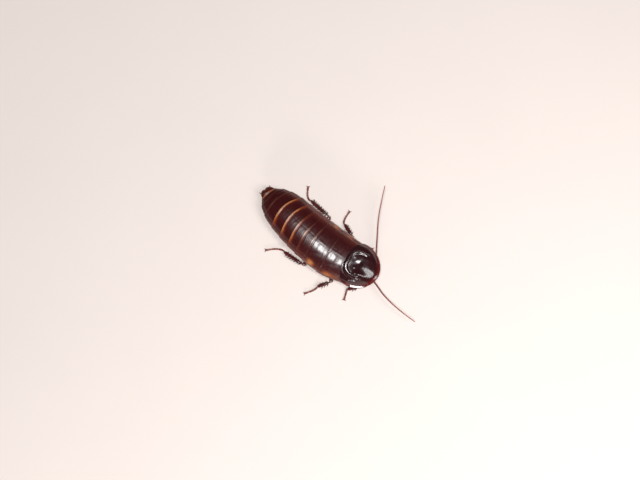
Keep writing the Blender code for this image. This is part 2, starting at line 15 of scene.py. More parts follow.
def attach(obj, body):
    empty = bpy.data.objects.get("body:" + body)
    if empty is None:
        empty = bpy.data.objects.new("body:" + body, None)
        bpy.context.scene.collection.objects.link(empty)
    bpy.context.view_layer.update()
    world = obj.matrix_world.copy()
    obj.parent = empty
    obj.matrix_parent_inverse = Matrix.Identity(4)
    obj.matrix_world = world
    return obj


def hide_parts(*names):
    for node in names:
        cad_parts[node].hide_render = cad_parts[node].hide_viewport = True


bl_info = {
    "name": "Hissing cockroach",
    "version": (1, 0, 0),
    "blender": (4, 5, 0),
    "location": "3D View > Sidebar > Cockroach",
    "description": "Builds a life-size Madagascar hissing cockroach, plate by plate",
    "category": "Add Mesh",
}

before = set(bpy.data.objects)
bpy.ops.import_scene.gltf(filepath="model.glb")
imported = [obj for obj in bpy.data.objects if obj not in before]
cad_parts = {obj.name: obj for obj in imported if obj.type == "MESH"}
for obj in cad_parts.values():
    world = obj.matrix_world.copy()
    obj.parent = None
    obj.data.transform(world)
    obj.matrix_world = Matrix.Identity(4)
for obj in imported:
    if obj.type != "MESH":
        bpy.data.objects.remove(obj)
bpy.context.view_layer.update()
MM = 0.001
SIDES = {"left": 1, "right": -1}
UP = Vector((0.0, 0.0, 1.0))

# The body's midline: an even bend with a slight drift, as in the solids
BODY_LENGTH = 67.0
BEND_RADIUS = 135.0
BOX_CENTRE = (8.0, -11.85)
DRIFT = ((12, 0.0), (22, -0.4), (34, 0.1), (44, 0.5), (52, 0.75), (60, 0.6), (67, 0.2))

# Half-width, side edge, back and belly heights along the body, as (station, millimetres)
HALF_WIDTH = ((14, 10.5), (20, 11.2), (26, 11.5), (32, 11.3), (37, 11.1), (44, 10.7), (50, 10.2),
              (55, 9.4), (59, 8.0), (61.8, 6.5), (63.6, 4.8), (64.9, 3.6), (67.4, 2.4))
EDGE_HEIGHT = ((14, 5.5), (30, 5.4), (45, 4.9), (55, 4.5), (60, 4.3), (67, 4.4))
BACK_HEIGHT = ((14, 11.2), (24, 12.0), (36, 12.5), (46, 12.3), (54, 11.1), (60, 8.9), (64, 6.9), (67, 5.6))
BELLY_HEIGHT = ((32, 4.8), (36, 4.3), (40, 2.7), (46, 1.9), (56, 1.9), (62, 2.5), (66, 3.3))
BACK_ROUNDNESS = 1.15
BELLY_ROUNDNESS = 0.7

# Rear edges of the back plates and the belly plates, and the ends of the breast plates
BACK_PLATES = ("mesonotum", "metanotum") + tuple(f"tergite_{i}" for i in range(1, 8))
PLATE_REARS = (24.5, 33.0, 37.6, 42.4, 47.9, 53.5, 59.0, 62.4, 64.6)
REAR_BOWS = (0.8, 1.6, 1.9, 2.2, 2.7, 2.7, 2.2, 1.5, 0.7)
STERNITE_REARS = (42.0, 47.0, 52.9, 58.2, 62.0, 65.6)
STERNITE_FRONT = 32.2
BREAST_PLATES = {"mesosternum": (14.5, 24.2), "metasternum": (24.5, 31.9)}
REAR_CORNER = 0.9
PLATE_TUCK = 1.3
PLATE_SINK = 0.6
SHELL_WALL = 0.32
TAIL_WALL = 0.3
BELLY_WALL = 0.28
BREAST_WALL = 0.7

# Each back plate's strength of the rust zone and of the amber rim, the zone's reach in millimetres,
# how far the rim runs to the right and to the left as shares of the half-width, and the strength of the
# painted highlight, pale pink, at the middle of its rim
PLATE_LOOKS = {
    "mesonotum": (0.05, 0.03, 1.4, 0.6, 0.5, 0.0), "metanotum": (0.1, 0.12, 1.5, 0.1, 0.6, 0.6),
    "tergite_1": (0.3, 0.2, 2.0, 0.45, 0.1, 1.0), "tergite_2": (0.95, 0.75, 2.8, 0.82, 0.25, 0.9),
    "tergite_3": (1.0, 0.9, 3.0, 0.88, 0.6, 0.55), "tergite_4": (1.0, 0.95, 3.2, 0.76, 0.8, 0.2),
    "tergite_5": (0.26, 0.03, 2.0, 0.8, 0.8, 0.0), "tergite_6": (0.2, 0.02, 1.4, 0.8, 0.8, 0.0),
    "tergite_7": (0.4, 0.55, 1.2, 0.95, 0.95, 0.8),
}
# Amber spots of the two nota: station, share of the half-width, half-length, half-width, strength
SIDE_SPOTS = {
    "mesonotum": ((20.3, -0.92, 2.5, 1.3, 0.62), (16.2, -0.9, 2.8, 1.0, 0.34), (20.0, 0.88, 3.1, 1.1, 0.55)),
    "metanotum": ((28.5, -0.89, 2.0, 1.25, 0.95), (28.2, 0.9, 2.6, 1.15, 0.72)),
}
# Shallow dents of the nota that catch the light: station, offset, added slope along and across
NOTUM_DENTS = ((17.6, -3.6, -0.07, -0.055), (21.3, -1.9, -0.055, 0.05), (27.8, -1.8, 0.023, 0.046),
               (30.6, -1.8, 0.035, 0.038))
DENT_LENGTH = 1.3
DENT_WIDTH = 0.9
# Low swells along the nota: their height on each, their phase in a millimetre and their first station
NOTUM_SWELLS = {"mesonotum": -0.016, "metanotum": 0.016}
SWELL_PITCH = 1.95
SWELL_START = 17.8
# Brown along the sides, as (station, strength)
LEFT_BROWN = ((33, 1.0), (46, 1.0), (50.5, 0.5), (55, 0.8), (60, 0.35), (66, 0.15))
RIGHT_BROWN = ((33, 1.0), (46, 0.85), (51, 0.5), (57, 0.25), (66, 0.12))

# Coat, its roughness, the dullest roughness under it and the ripples: waxed nota, duller tergites
WAXED = (0.6, 0.22, 0.42, 0.85)
DULLER = (0.07, 0.34, 0.46, 0.5)

# Pronotum: outline, vault, wall, the powers of its outline and vault, and how high its right brim lies
PRONOTUM_MIDDLE = 11.0
PRONOTUM_FRONT_REACH = 11.15
PRONOTUM_REAR_REACH = 5.1
PRONOTUM_HALF_WIDTH = 10.3
PRONOTUM_REAR_CORNER = 9.5
PRONOTUM_TOP = 11.3
PRONOTUM_EDGE = 5.4
PRONOTUM_FRONT_LIFT = 1.8
PRONOTUM_WALL = 0.6
FRONT_POWER = 1.9
REAR_POWER = 0.8
VAULT_POWER = 0.6
BRIM_RISE = 0.165
# Its humps, then its hollow disc and the ridge round it: station, offset, reach along and reach across
LEFT_HUMP = 0.3
RIGHT_HUMP = 0.65
DISC = (11.0, -0.2, 2.9, 3.7)
DISC_DEPTH = 0.65
RIDGE = (9.0, -0.3, 5.9, 5.6)
RIDGE_POWER = 2.7
RIDGE_HALF_WIDTH = 0.66
# Bosses as (station, offset, radius, height), and the facet on the disc that catches the light
BOSSES = ((11.1, -1.9, 0.55, 0.14), (9.9, -4.5, 0.6, 0.14), (12.9, 2.4, 0.6, 0.1))
FACET = (10.6, 0.9)

# Head: crown and mouth as (station, height), then half-widths and half-depths from crown to mouth
CROWN = (4.5, 8.1)
MOUTH = (5.9, 2.3)
HEAD_SHARES = (0.0, 0.04, 0.14, 0.36, 0.55, 0.75, 0.9, 0.96, 1.0)
HEAD_HALF_WIDTHS = tuple(zip(HEAD_SHARES, (0.0, 1.7, 3.0, 3.55, 3.25, 2.5, 1.8, 1.3, 0.0)))
HEAD_HALF_DEPTHS = tuple(zip(HEAD_SHARES, (0.0, 0.9, 1.6, 1.95, 1.8, 1.4, 1.1, 0.8, 0.0)))
LIP_WALL = 0.25
EYE_FACET = 0.11
# Offset and height of the feeler sockets and of the pale eye spots, and heights of the two seams
SOCKET = (2.15, 5.3)
OCELLUS = (1.25, 6.3)
CLYPEUS_SEAM = 3.95
LIP_SEAM = 3.15

# Neck: half-width, belly and back height by station; tail plate: half-width and top by share of its length
NECK_HALF_WIDTH = ((7.2, 1.7), (7.6, 2.4), (8.2, 3.9), (9.0, 5.7), (12.0, 7.0), (14.3, 6.8))
NECK_LOW = ((7.2, 5.3), (8.0, 5.05), (8.8, 4.9), (14.3, 4.95))
NECK_HIGH = ((7.2, 7.6), (8.0, 8.3), (9.5, 9.2), (14.3, 9.4))
TAIL_HALF_WIDTH = ((0.0, 3.6), (0.35, 3.35), (0.75, 2.6), (0.93, 1.9), (1.0, 1.3))
TAIL_TOP = ((0.0, 6.1), (0.3, 6.25), (0.7, 5.8), (1.0, 5.25))
TAIL_EDGE = 4.9
TAIL_FRONT = 64.2

# Each leg's joints: root and tip of the coxa, knee, end of the tibia, tip of the foot
LEGS = {
    "front_left": ((9.6, 5.2, 4.1), (12.2, 2.0, 3.7), (3.0, 5.4, 3.0), (7.0, 7.9, 1.3), (8.5, 11.4, 0.45)),
    "front_right": ((9.6, -5.2, 4.1), (12.2, -2.0, 3.7), (5.2, -7.7, 3.3), (10.0, -10.9, 1.3),
                    (9.1, -15.9, 0.45)),
    "middle_left": ((17.2, 7.0, 4.1), (21.3, 2.2, 3.7), (19.5, 11.4, 3.6), (27.1, 14.7, 1.3),
                    (29.1, 21.1, 0.45)),
    "middle_right": ((17.2, -7.0, 4.1), (21.3, -2.2, 3.7), (17.2, -11.6, 3.4), (21.2, -16.5, 1.3),
                     (24.0, -22.3, 0.45)),
    "hind_left": ((25.4, 7.2, 4.1), (31.0, 2.2, 3.7), (35.3, 12.4, 3.6), (48.9, 12.4, 1.3),
                  (55.5, 16.2, 0.45)),
    "hind_right": ((25.4, -7.2, 4.1), (31.0, -2.2, 3.7), (30.6, -12.4, 3.7), (41.3, -13.5, 1.3),
                   (47.5, -18.9, 0.45)),
}
# Half-widths and half-heights along each joint
COXA_RADII = ((1.1, 0.5), (2.1, 0.56), (2.3, 0.62), (1.9, 0.6), (1.1, 0.5))
FEMUR_RADII = ((0.7, 0.5), (1.15, 0.7), (1.42, 0.76), (1.36, 0.76), (1.0, 0.7), (0.86, 0.66))
TIBIA_RADII = ((0.52, 0.5), (0.76, 0.62), (0.8, 0.62), (0.8, 0.62), (0.8, 0.6), (0.66, 0.55))
FOOT_RADII = (0.46, 0.44)
FOOT_JOINTS = (0.0, 0.34, 0.48, 0.59, 0.68, 1.0)
FOOT_BOWS = {"front_left": 0.0, "front_right": 0.0, "middle_left": 0.85, "middle_right": 0.45,
             "hind_left": 1.0, "hind_right": -0.95}
KNEE_RADII = (0.42, 0.42, 0.48)
KNEE_LIFT = 0.24
HIP_DROP = 1.75
TIBIA_SAG = 0.35
FEMUR_SAG = -0.1
ANKLE_HEIGHT = 0.7
TOE_HEIGHT = 0.36
CLAW_BASE_ROW = -7
CLAW_REACH = 0.75
CLAW_SPREAD = 0.85
CLAW = ((0.0, 0.2, 0.2), (0.3, 0.2, 0.2), (0.6, 0.16, 0.17), (0.9, 0.11, 0.12), (1.15, 0.06, 0.07),
        (1.3, 0.012, 0.012))
CLAW_WAY = ((-0.3, 0.1, 0.42), (0.25, 0.4, 0.6), (0.75, 0.8, 0.5), (0.95, 1.1, 0.15))
PAD_RADII = (0.38, 0.26, 0.24)
PAD_HEIGHT = 0.3
# Radii along a spine of unit length; rows of spines: the angle from a tibia's outer side, and the spacing
SPINE = ((-0.25, 0.16), (-0.02, 0.2), (0.06, 0.21), (0.1, 0.15), (0.35, 0.125), (0.65, 0.085), (0.88, 0.045),
         (1.0, 0.008))
SPINE_ROWS = ((-8, 1.25), (48, 1.7), (132, 1.7), (188, 1.5))
SPINE_LENGTH = 1.5
SPINE_FOOT = 0.58
SPINE_FLOOR = 0.2
SPINE_ENDS = (0.9, 1.3)
SPINE_SEED = 43
SEED_STEP = 4

# Feelers, from the socket on the head to the tip, with the rings of their two basal joints
ANTENNAE = {
    "antenna_left": ((3.2, 2.3, 5.3), (2.8, 4.2, 5.1), (5.2, 8.9, 4.5), (8.8, 16.4, 5.4), (12.6, 23.8, 6.6),
                     (15.7, 31.0, 7.2), (19.0, 38.6, 7.6)),
    "antenna_right": ((3.3, -2.3, 5.3), (0.9, -3.2, 5.0), (-5.3, -7.2, 6.0), (-12.4, -10.9, 7.4),
                      (-20.4, -14.4, 8.4)),
}
SCAPE = [(0.0, 0.3, 0.3), (0.15, 0.5, 0.5), (0.7, 0.6, 0.58), (1.15, 0.52, 0.5), (1.25, 0.3, 0.3),
         (1.35, 0.4, 0.4), (1.8, 0.46, 0.46), (1.95, 0.34, 0.34)]
SCAPE_LENGTH = 2.0
ANTENNA_RADIUS = 0.43
ANTENNA_TIP_RADIUS = 0.2
CERCUS_LENGTH = 2.45
CERCUS_RING = 0.3
CERCUS_WAY = ((65.1, 2.25, 4.15), (67.6, 2.85, 4.15))
PALP_LENGTH = 4.05
PALP_JOINTS = ((0.0, 0.5, 0.27), (0.5, 0.55, 0.29), (1.05, 1.1, 0.31), (2.15, 0.95, 0.3), (3.1, 0.9, 0.33))
PALP_WAY = ((5.0, 2.2, 3.3), (4.2, 2.9, 2.3), (3.5, 2.7, 1.4), (3.3, 2.2, 0.75))
JAW = ((0.0, 0.5, 0.42), (0.4, 0.62, 0.5), (0.9, 0.6, 0.48), (1.4, 0.48, 0.4), (1.8, 0.3, 0.28),
       (2.05, 0.12, 0.12))
JAW_WAY = ((4.9, 1.75, 3.7), (4.6, 1.8, 3.1), (4.5, 1.35, 2.5), (4.5, 0.55, 2.1))

# Lights: the sun's direction from the model and the angle that it fills, then the two soft lights
# with their shares of the fill power, sizes and places, and the even light from all round
KEY_DIRECTION = (-0.155, -0.075, 0.985)
KEY_WIDTH = math.radians(12.5)
SOFT_LIGHTS = (("front_light", 0.75, (72.0, 330.0), (25.0, -240.0, 340.0)),
               ("side_light", 0.4, (130.0, 50.0), (-325.0, -205.0, 120.0)))
LIGHT_AIM = (0.0, 0.0, 5.0)
WORLD_COLOUR = "#f3f6ff"
WORLD_STRENGTH = 0.12
FLOOR_SIZE = 2.4

# The camera looks down on the back, tipped toward the head and the right side and turned
CAMERA_PITCH = math.radians(10.0)
CAMERA_ROLL = math.radians(8.0)
CAMERA_SPIN = math.radians(37.3)
CAMERA_AIM = (-6.990, 9.601, 5.745)
CAMERA_DISTANCE = 306.3
LENS_PIXELS = 675.0
PICTURE_WIDTH = 640
SENSOR_WIDTH = 36.0


def linear_colour(code):
    """An sRGB hex colour as a linear RGBA colour."""
    channels = [int(code[i:i + 2], 16) / 255.0 for i in (1, 3, 5)]
    channels = [c / 12.92 if c <= 0.04045 else ((c + 0.055) / 1.055) ** 2.4 for c in channels]
    return (*channels, 1.0)


class ShellColours(bpy.types.PropertyGroup):
    """Colours of the back plates."""

    black: FloatVectorProperty(name="Back", description="Darkest colour of the back plates", subtype="COLOR",
                               size=3, default=linear_colour("#3a0506")[:3])
    rust: FloatVectorProperty(name="Rust", description="Colour before the rear edge of a plate",
                              subtype="COLOR", size=3, default=linear_colour("#8e4415")[:3])
    amber: FloatVectorProperty(name="Amber", description="Colour of the thin rear edge of a plate",
                               subtype="COLOR", size=3, default=linear_colour("#bb7a48")[:3])


class BodySizes(bpy.types.PropertyGroup):
    """Sizes that a user may change without moving what the solids set."""

    wall: FloatProperty(name="Shell wall", description="Thickness of a back plate", default=SHELL_WALL * MM,
                        unit="LENGTH", subtype="DISTANCE", precision=5)
    spine: FloatProperty(name="Spine length", description="Length of a tibia's spines",
                         default=SPINE_LENGTH * MM, unit="LENGTH", subtype="DISTANCE", precision=5)
    rings: IntProperty(name="Feeler rings", description="Rings along one feeler", default=78, min=20, max=120)


class StageSettings(bpy.types.PropertyGroup):
    """Light and floor."""

    key_power: FloatProperty(name="Key light", description="Strength of the light over the back", default=2.1)
    fill_power: FloatProperty(name="Fill light", description="Power of each soft light", default=1.0,
                              unit="POWER")
    floor_colour: FloatVectorProperty(name="Floor", description="Colour of the pale floor", subtype="COLOR",
                                      size=3, default=linear_colour("#f0e3dc")[:3])


def smooth(stations, s):
    """Values at s, a number or an array, on the smooth curve through a few stations."""
    keys, values = np.array(stations, float).T
    slopes = np.gradient(values, keys)
    s = np.clip(np.asarray(s, float), keys[0], keys[-1])
    i = np.clip(np.searchsorted(keys, s, side="right") - 1, 0, len(keys) - 2)
    span = keys[i + 1] - keys[i]
    t = (s - keys[i]) / span
    start = (1 + 2 * t) * (1 - t) ** 2 * values[i] + t * (1 - t) ** 2 * span * slopes[i]
    end = t * t * (3 - 2 * t) * values[i + 1] + t * t * (t - 1) * span * slopes[i + 1]
    return start + end


def place(s, lat, z):
    """World points, in metres, of body stations s, offsets lat and heights z in millimetres."""
    s, lat, z = np.broadcast_arrays(np.asarray(s, float), np.asarray(lat, float), np.asarray(z, float))
    turn = (s - BODY_LENGTH / 2) / BEND_RADIUS
    aside = lat + smooth(DRIFT, s)
    x = BEND_RADIUS * (1 - np.cos(turn)) + aside * np.cos(turn) - BOX_CENTRE[0]
    y = BEND_RADIUS * np.sin(turn) - aside * np.sin(turn) - BOX_CENTRE[1]
    return np.stack([x, y, z], axis=-1) * MM


def bell(x, width):
    """A smooth bump of height 1 and the given width."""
    return np.exp(-(x / width) ** 2)


def straight(stations, x):
    """Values at x on the straight lines through a few stations."""
    return np.interp(x, *zip(*stations))


def ramp(x, start, end, least=0):
    """0 at start and 1 at end, straight between them, level beyond and never under least."""
    return np.clip((x - start) / (end - start), least, 1)


def dome(v):
    """Height of a half circle over the shares v from -1 to 1."""
    return np.sqrt(np.clip(1 - v * v, 0, 1))


def signed_power(x, power):
    """A power of the size of x, with the sign of x."""
    return np.sign(x) * np.abs(x) ** power


def add_node(tree, kind, settings=(), links=(), output=0):
    """Add a shader node, set its properties, sockets and colour stops, link it and return an output."""
    node = tree.nodes.new("ShaderNode" + kind)
    for key, value in dict(settings).items():
        if key == "stops":
            stops = node.color_ramp.elements
            while len(stops) < len(value):
                stops.new(0.5)
            for element, (position, colour) in zip(stops, value):
                element.position = position
                element.color = as_colour(colour)
        elif isinstance(key, str) and hasattr(node, key):
            setattr(node, key, value)
        else:
            node.inputs[key].default_value = as_colour(value) if str(key).startswith("Color") else value
    for key, socket in dict(links).items():
        tree.links.new(socket, node.inputs[key])
    return node.outputs[output]


def as_colour(value):
    """A hex code, a grey or a linear colour, as linear RGBA."""
    if isinstance(value, str):
        return linear_colour(value)
    if isinstance(value, (int, float)):
        return (value, value, value, 1.0)
    return (*value[:3], 1.0)


def new_material(name, **sockets):
    """A material whose Principled shader has the given constant values."""
    material = bpy.data.materials.new(name)
    material.use_nodes = True
    shader = material.node_tree.nodes["Principled BSDF"]
    for key, value in sockets.items():
        shader.inputs[key.replace("_", " ").title().replace("Ior", "IOR")].default_value = value
    return material, material.node_tree, shader


def dress(tree, shader, colour, *layers):
    """Link the colour and the bump layers, each (height socket, strength, distance in metres)."""
    tree.links.new(colour, shader.inputs["Base Color"])
    links = {}
    for height, strength, distance in layers:
        links["Height"] = height
        links["Normal"] = add_node(tree, "Bump", {"Strength": strength, "Distance": distance}, links)
    if layers:
        tree.links.new(links["Normal"], shader.inputs["Normal"])


def grain(tree, size_mm, detail=3.0, stretch=(1.0, 1.0, 1.0)):
    """Height of a fine grain of the given size, drawn out along an axis by stretch."""
    spot = add_node(tree, "TexCoord", output="Object")
    spot = add_node(tree, "Mapping", {"Scale": stretch}, {"Vector": spot})
    return add_node(tree, "TexNoise", {"Scale": 1.0 / (size_mm * MM), "Detail": detail, "Roughness": 0.55},
                    {"Vector": spot})


def flecked(tree, colour, size_mm, dim, bright, low=0.35):
    """The colour, dimmed and brightened by a fine grain."""
    fleck = add_node(tree, "ValToRGB", {"stops": [(low, dim), (0.7, bright)]}, {"Fac": grain(tree, size_mm)})
    return add_node(tree, "MixRGB", {"blend_type": "MULTIPLY", "Fac": 1.0},
                    {"Color1": colour, "Color2": fleck})


def worn(tree, shader, size_mm, least, most):
    """Roughness that wanders between two values, so that highlights break up."""
    dull = add_node(tree, "MapRange", {"From Min": 0.3, "From Max": 0.7, "To Min": least, "To Max": most},
                    {"Value": grain(tree, size_mm)})
    tree.links.new(dull, shader.inputs["Roughness"])


def deselect():
    if bpy.context.mode != "OBJECT":
        bpy.ops.object.mode_set(mode="OBJECT")
    bpy.ops.object.select_all(action="DESELECT")


def pick(piece):
    """Select one object alone and make it the active one."""
    deselect()
    piece.select_set(True)
    bpy.context.view_layer.objects.active = piece


def add_mesh(name, kind, **settings):
    """Add a mesh of one of Blender's simple kinds and name it."""
    deselect()
    getattr(bpy.ops.mesh, f"primitive_{kind}_add")(**settings)
    piece = bpy.context.active_object
    piece.name = name
    piece.data.name = name
    return piece


def edit_all():
    """Open the active piece for editing, with all of it selected."""
    bpy.ops.object.mode_set(mode="EDIT")
    bpy.ops.mesh.select_all(action="SELECT")


def add_sheet(name, across, along):
    """A grid, each vertex's place across it from -1 to 1 and its share of the way along it."""
    piece = add_mesh(name, "grid", x_subdivisions=across, y_subdivisions=along, size=2.0)
    plain = coords(piece)
    return piece, plain[:, 0], (plain[:, 1] + 1) / 2


def add_plate(name, across, along):
    """A sheet whose vertices crowd toward both side edges."""
    piece, x, f = add_sheet(f"{name}_shell", across, along)
    return piece, np.sin(x * math.pi / 2), f


def add_ball(name, segments, rings):
    """A ball of radius 1 and its vertices."""
    piece = add_mesh(name, "uv_sphere", segments=segments, ring_count=rings, radius=1.0)
    return piece, coords(piece)


def coords(piece):
    """The vertices of a piece as an array of rows."""
    flat = np.empty(len(piece.data.vertices) * 3)
    piece.data.vertices.foreach_get("co", flat)
    return flat.reshape(-1, 3)


def reshape(piece, points):
    """Move the vertices of a piece to the given rows, in metres."""
    piece.data.vertices.foreach_set("co", np.ascontiguousarray(points, float).ravel())
    piece.data.update()


def mark(piece, **layers):
    """Keep named values at every vertex, for the piece's material to read."""
    for name, values in layers.items():
        attribute = piece.data.attributes.new(name, "FLOAT", "POINT")
        rows = np.broadcast_to(np.asarray(values, float), len(piece.data.vertices))
        attribute.data.foreach_set("value", np.ascontiguousarray(rows))


def apply_modifier(piece, kind, **settings):
    bpy.context.view_layer.objects.active = piece
    modifier = piece.modifiers.new(kind.title(), kind)
    for key, value in settings.items():
        setattr(modifier, key, value)
    bpy.ops.object.modifier_apply(modifier=modifier.name)


def thicken(piece, wall, edge, segments=2, angle=50, **settings):
    """Give a sheet its wall, grown inward, and round its rim by edge, both in millimetres."""
    apply_modifier(piece, "SOLIDIFY", thickness=wall * MM, offset=-1.0, **settings)
    apply_modifier(piece, "BEVEL", width=edge * MM, segments=segments, limit_method="ANGLE",
                   angle_limit=math.radians(angle))


def outward(piece):
    """Merge doubles and turn all faces outward."""
    pick(piece)
    edit_all()
    bpy.ops.mesh.remove_doubles(threshold=0.000001)
    bpy.ops.mesh.normals_make_consistent(inside=False)
    bpy.ops.object.mode_set(mode="OBJECT")


def settle(piece, material, slot, *nodes, angle=60):
    """Smooth a finished piece and give it its material, body and the nodes that it stands for; slot is not
    used.
    """
    pick(piece)
    bpy.ops.object.shade_smooth_by_angle(angle=math.radians(angle))
    piece.data.materials.clear()
    piece.data.materials.append(material)
    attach(piece, "root")
    if nodes:
        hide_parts(*nodes)


def join(piece, others):
    """Join other objects into the piece."""
    pick(piece)
    for other in others:
        other.select_set(True)
    bpy.ops.object.join()


def extrude_limb(name, profile, sides):
    """A closed rod along +Z, extruded ring by ring: profile rows are (z, half-width, half-height)."""
    piece = add_mesh(name, "circle", vertices=sides, radius=1.0, fill_type="NGON")
    edit_all()
    z, wide, tall = profile[0]
    bpy.ops.transform.translate(value=(0.0, 0.0, z))
    bpy.ops.transform.resize(value=(wide, tall, 1.0), center_override=(0.0, 0.0, z))
    for next_z, next_wide, next_tall in profile[1:]:
        bpy.ops.mesh.extrude_region_move(TRANSFORM_OT_translate={"value": (0.0, 0.0, next_z - z)})
        scale = (next_wide / wide, next_tall / tall, 1.0)
        bpy.ops.transform.resize(value=scale, center_override=(0.0, 0.0, next_z))
        z, wide, tall = next_z, next_wide, next_tall
    bpy.ops.mesh.select_all(action="SELECT")
    bpy.ops.mesh.normals_make_consistent(inside=False)
    bpy.ops.object.mode_set(mode="OBJECT")
    return piece


def beaded(beads, swells, flatten=1.0):
    """Profile rows of beads (start, length, radius) that each swell by rows (share, factor)."""
    return [(start + length * share, radius * swell, radius * swell * flatten)
            for start, length, radius in beads for share, swell in swells]


def trail(points, count):
    """Evenly spread rows (s, lat, z) on the smooth curve through a few chosen ones."""
    points = np.array(points, float)
    lengths = np.concatenate(([0.0], np.cumsum(np.linalg.norm(np.diff(points, axis=0), axis=1))))
    steps = np.linspace(0.0, lengths[-1], count)
    return np.stack([smooth(list(zip(lengths, points[:, axis])), steps) for axis in range(3)], axis=-1)


def lay_along(piece, path):
    """Bend a rod along +Z, in millimetres, onto a path of world points in metres."""
    plain = coords(piece)
    steps = np.linalg.norm(np.diff(path, axis=0), axis=1)
    lengths = np.concatenate(([0.0], np.cumsum(steps))) / MM
    share = plain[:, 2] * lengths[-1] / max(plain[:, 2].max(), 1e-9)
    slope = np.gradient(path, axis=0)
    centre, along = (np.stack([np.interp(share, lengths, rows[:, axis]) for axis in range(3)], axis=-1)
                     for rows in (path, slope))
    along /= np.linalg.norm(along, axis=1, keepdims=True)
    across = np.cross(along, np.array([0.0, 0.0, 1.0]))
    across /= np.linalg.norm(across, axis=1, keepdims=True)
    upright = np.cross(across, along)
    reshape(piece, centre + (across * plain[:, :1] + upright * plain[:, 1:2]) * MM)


def lay_on_rows(piece, rows):
    """Bend a rod along +Z onto rows (s, lat, z)."""
    lay_along(piece, place(*np.array(rows).T))


def grow_rod(name, profile, sides, rows):
    """A rod along rows (s, lat, z), marked with the share of its length."""
    piece = extrude_limb(name, profile, sides)
    mark(piece, along=coords(piece)[:, 2] / profile[-1][0])
    lay_on_rows(piece, rows)
    return piece


def on_side(way, side):
    """Rows (s, lat, z) given for the left, on the side asked for."""
    return np.array(way) * (1, SIDES[side], 1)


def between(start, end, share, sag=0.0):
    """A point at a share of the way from start to end, raised by an arch of height sag."""
    lift = (0.0, 0.0, 4 * sag * share * (1 - share))
    return tuple(a + (b - a) * share + c for a, b, c in zip(start, end, lift))


def straight_rows(start, end, count, sag=0.0):
    """Rows evenly spread from start to end."""
    return [between(start, end, share, sag) for share in np.linspace(0, 1, count)]


def shorten(start, end, cut_start, cut_end):
    """Both ends of the line from start to end, after cutting it or drawing it out."""
    length = math.dist(start, end)
    return between(start, end, cut_start / length), between(start, end, 1 - cut_end / length)


def pronotum_rear(lat):
    """Station of the pronotum's rear edge at offset lat."""
    share = np.minimum(np.abs(lat), PRONOTUM_REAR_CORNER) / PRONOTUM_HALF_WIDTH
    return PRONOTUM_MIDDLE + PRONOTUM_REAR_REACH * (1 - share ** 2.5) ** 0.4


def plate_edge(index, v):
    """Station of the edge behind back plate index, at the share v of the half-width."""
    if index < 0:
        return pronotum_rear(v * 10.4)
    return PLATE_REARS[index] - REAR_BOWS[index] * v * v + REAR_CORNER * np.abs(v) ** 6


def back_point(s, v, sink):
    """Offset and height on the back at station s and width share v, sunk a little all round."""
    edge = smooth(EDGE_HEIGHT, s) + 0.15
    rise = smooth(BACK_HEIGHT, s) - edge - sink
    lat = (smooth(HALF_WIDTH, s) - sink * 0.6) * v
    return lat, edge + rise * dome(v) ** BACK_ROUNDNESS


def shell_material(name, band_reach, notum):
    """Tanned chitin, hard and waxed: near black with a rust zone and an amber rim at the rear edge, whose
    middle is mixed toward pale pink as a painted highlight.
    """
    colours = bpy.context.scene.shell_colours
    coat, wax, dullest, ripple = WAXED if notum else DULLER
    material, tree, shader = new_material(name, roughness=0.3, ior=1.53, specular_ior_level=0.28,
                                          coat_weight=coat, coat_roughness=wax)
    rear, side, band, rim, pale = (add_node(tree, "Attribute", {"attribute_name": layer}, output="Fac")
                                   for layer in ("rear_mm", "side", "band", "rim", "pale"))
    blotch = grain(tree, 1.6, 4.0)
    wander = add_node(tree, "Math", {"operation": "MULTIPLY_ADD", 1: 0.9, 2: -0.45}, {0: blotch})
    ragged = add_node(tree, "Math", {"operation": "ADD"}, {0: rear, 1: wander})
    reach = add_node(tree, "Math", {"operation": "DIVIDE", 1: band_reach}, {0: ragged})
    zone = add_node(tree, "ValToRGB", {"stops": [(0.0, colours.rust), (0.25, "#7a2f12"), (0.6, "#440b07"),
                                                 (1.0, colours.black)]}, {"Fac": reach})
    mottled = add_node(tree, "Math", {"operation": "MULTIPLY_ADD", 1: 1.9, 2: -0.05}, {0: blotch})
    brown = add_node(tree, "Math", {"operation": "MULTIPLY", "use_clamp": True}, {0: side, 1: mottled})
    plain = add_node(tree, "MixRGB", {"Color1": colours.black, "Color2": "#703328"}, {"Fac": brown})
    colour = add_node(tree, "MixRGB", {}, {"Fac": band, "Color1": plain, "Color2": zone})
    frayed = add_node(tree, "Math", {"operation": "MULTIPLY_ADD", 1: 0.4}, {0: wander, 2: rear})
    behind = add_node(tree, "Math", {"operation": "DIVIDE", 1: 4.0}, {0: frayed})
    edge = add_node(tree, "ValToRGB", {"stops": [(0.0, 0.6), (0.04, 1), (0.11, 1), (0.24, 0)]},
                    {"Fac": behind})
    edge = add_node(tree, "Math", {"operation": "MULTIPLY"}, {0: edge, 1: rim})
    # Painted highlight: pale turns the amber toward pale pink where the key light's glint falls on the rim
    amber = add_node(tree, "MixRGB", {"Color1": colours.amber, "Color2": "#e2b8a4"}, {"Fac": pale})
    colour = add_node(tree, "MixRGB", {}, {"Fac": edge, "Color1": colour, "Color2": amber})
    if notum:
        spot = add_node(tree, "Attribute", {"attribute_name": "spot"}, output="Fac")
        tint = add_node(tree, "ValToRGB", {"stops": [(0.12, "#3b1518"), (0.45, "#823c1a"), (0.9, "#c27c45")]},
                        {"Fac": spot})
        share = add_node(tree, "ValToRGB", {"stops": [(0.08, 0), (0.3, 1)]}, {"Fac": spot})
        colour = add_node(tree, "MixRGB", {}, {"Fac": share, "Color1": colour, "Color2": tint})
    worn(tree, shader, 0.9, dullest - 0.18, dullest)
    dress(tree, shader, flecked(tree, colour, 0.5, 0.72, (1.25, 1.2, 1.2)),
          (grain(tree, 1.7, 2.0, (0.5, 1.15, 1.0)), ripple, 0.00018),
          (grain(tree, 0.4, stretch=(0.6, 1.3, 1.0)), 0.3, 0.00003))
    return material


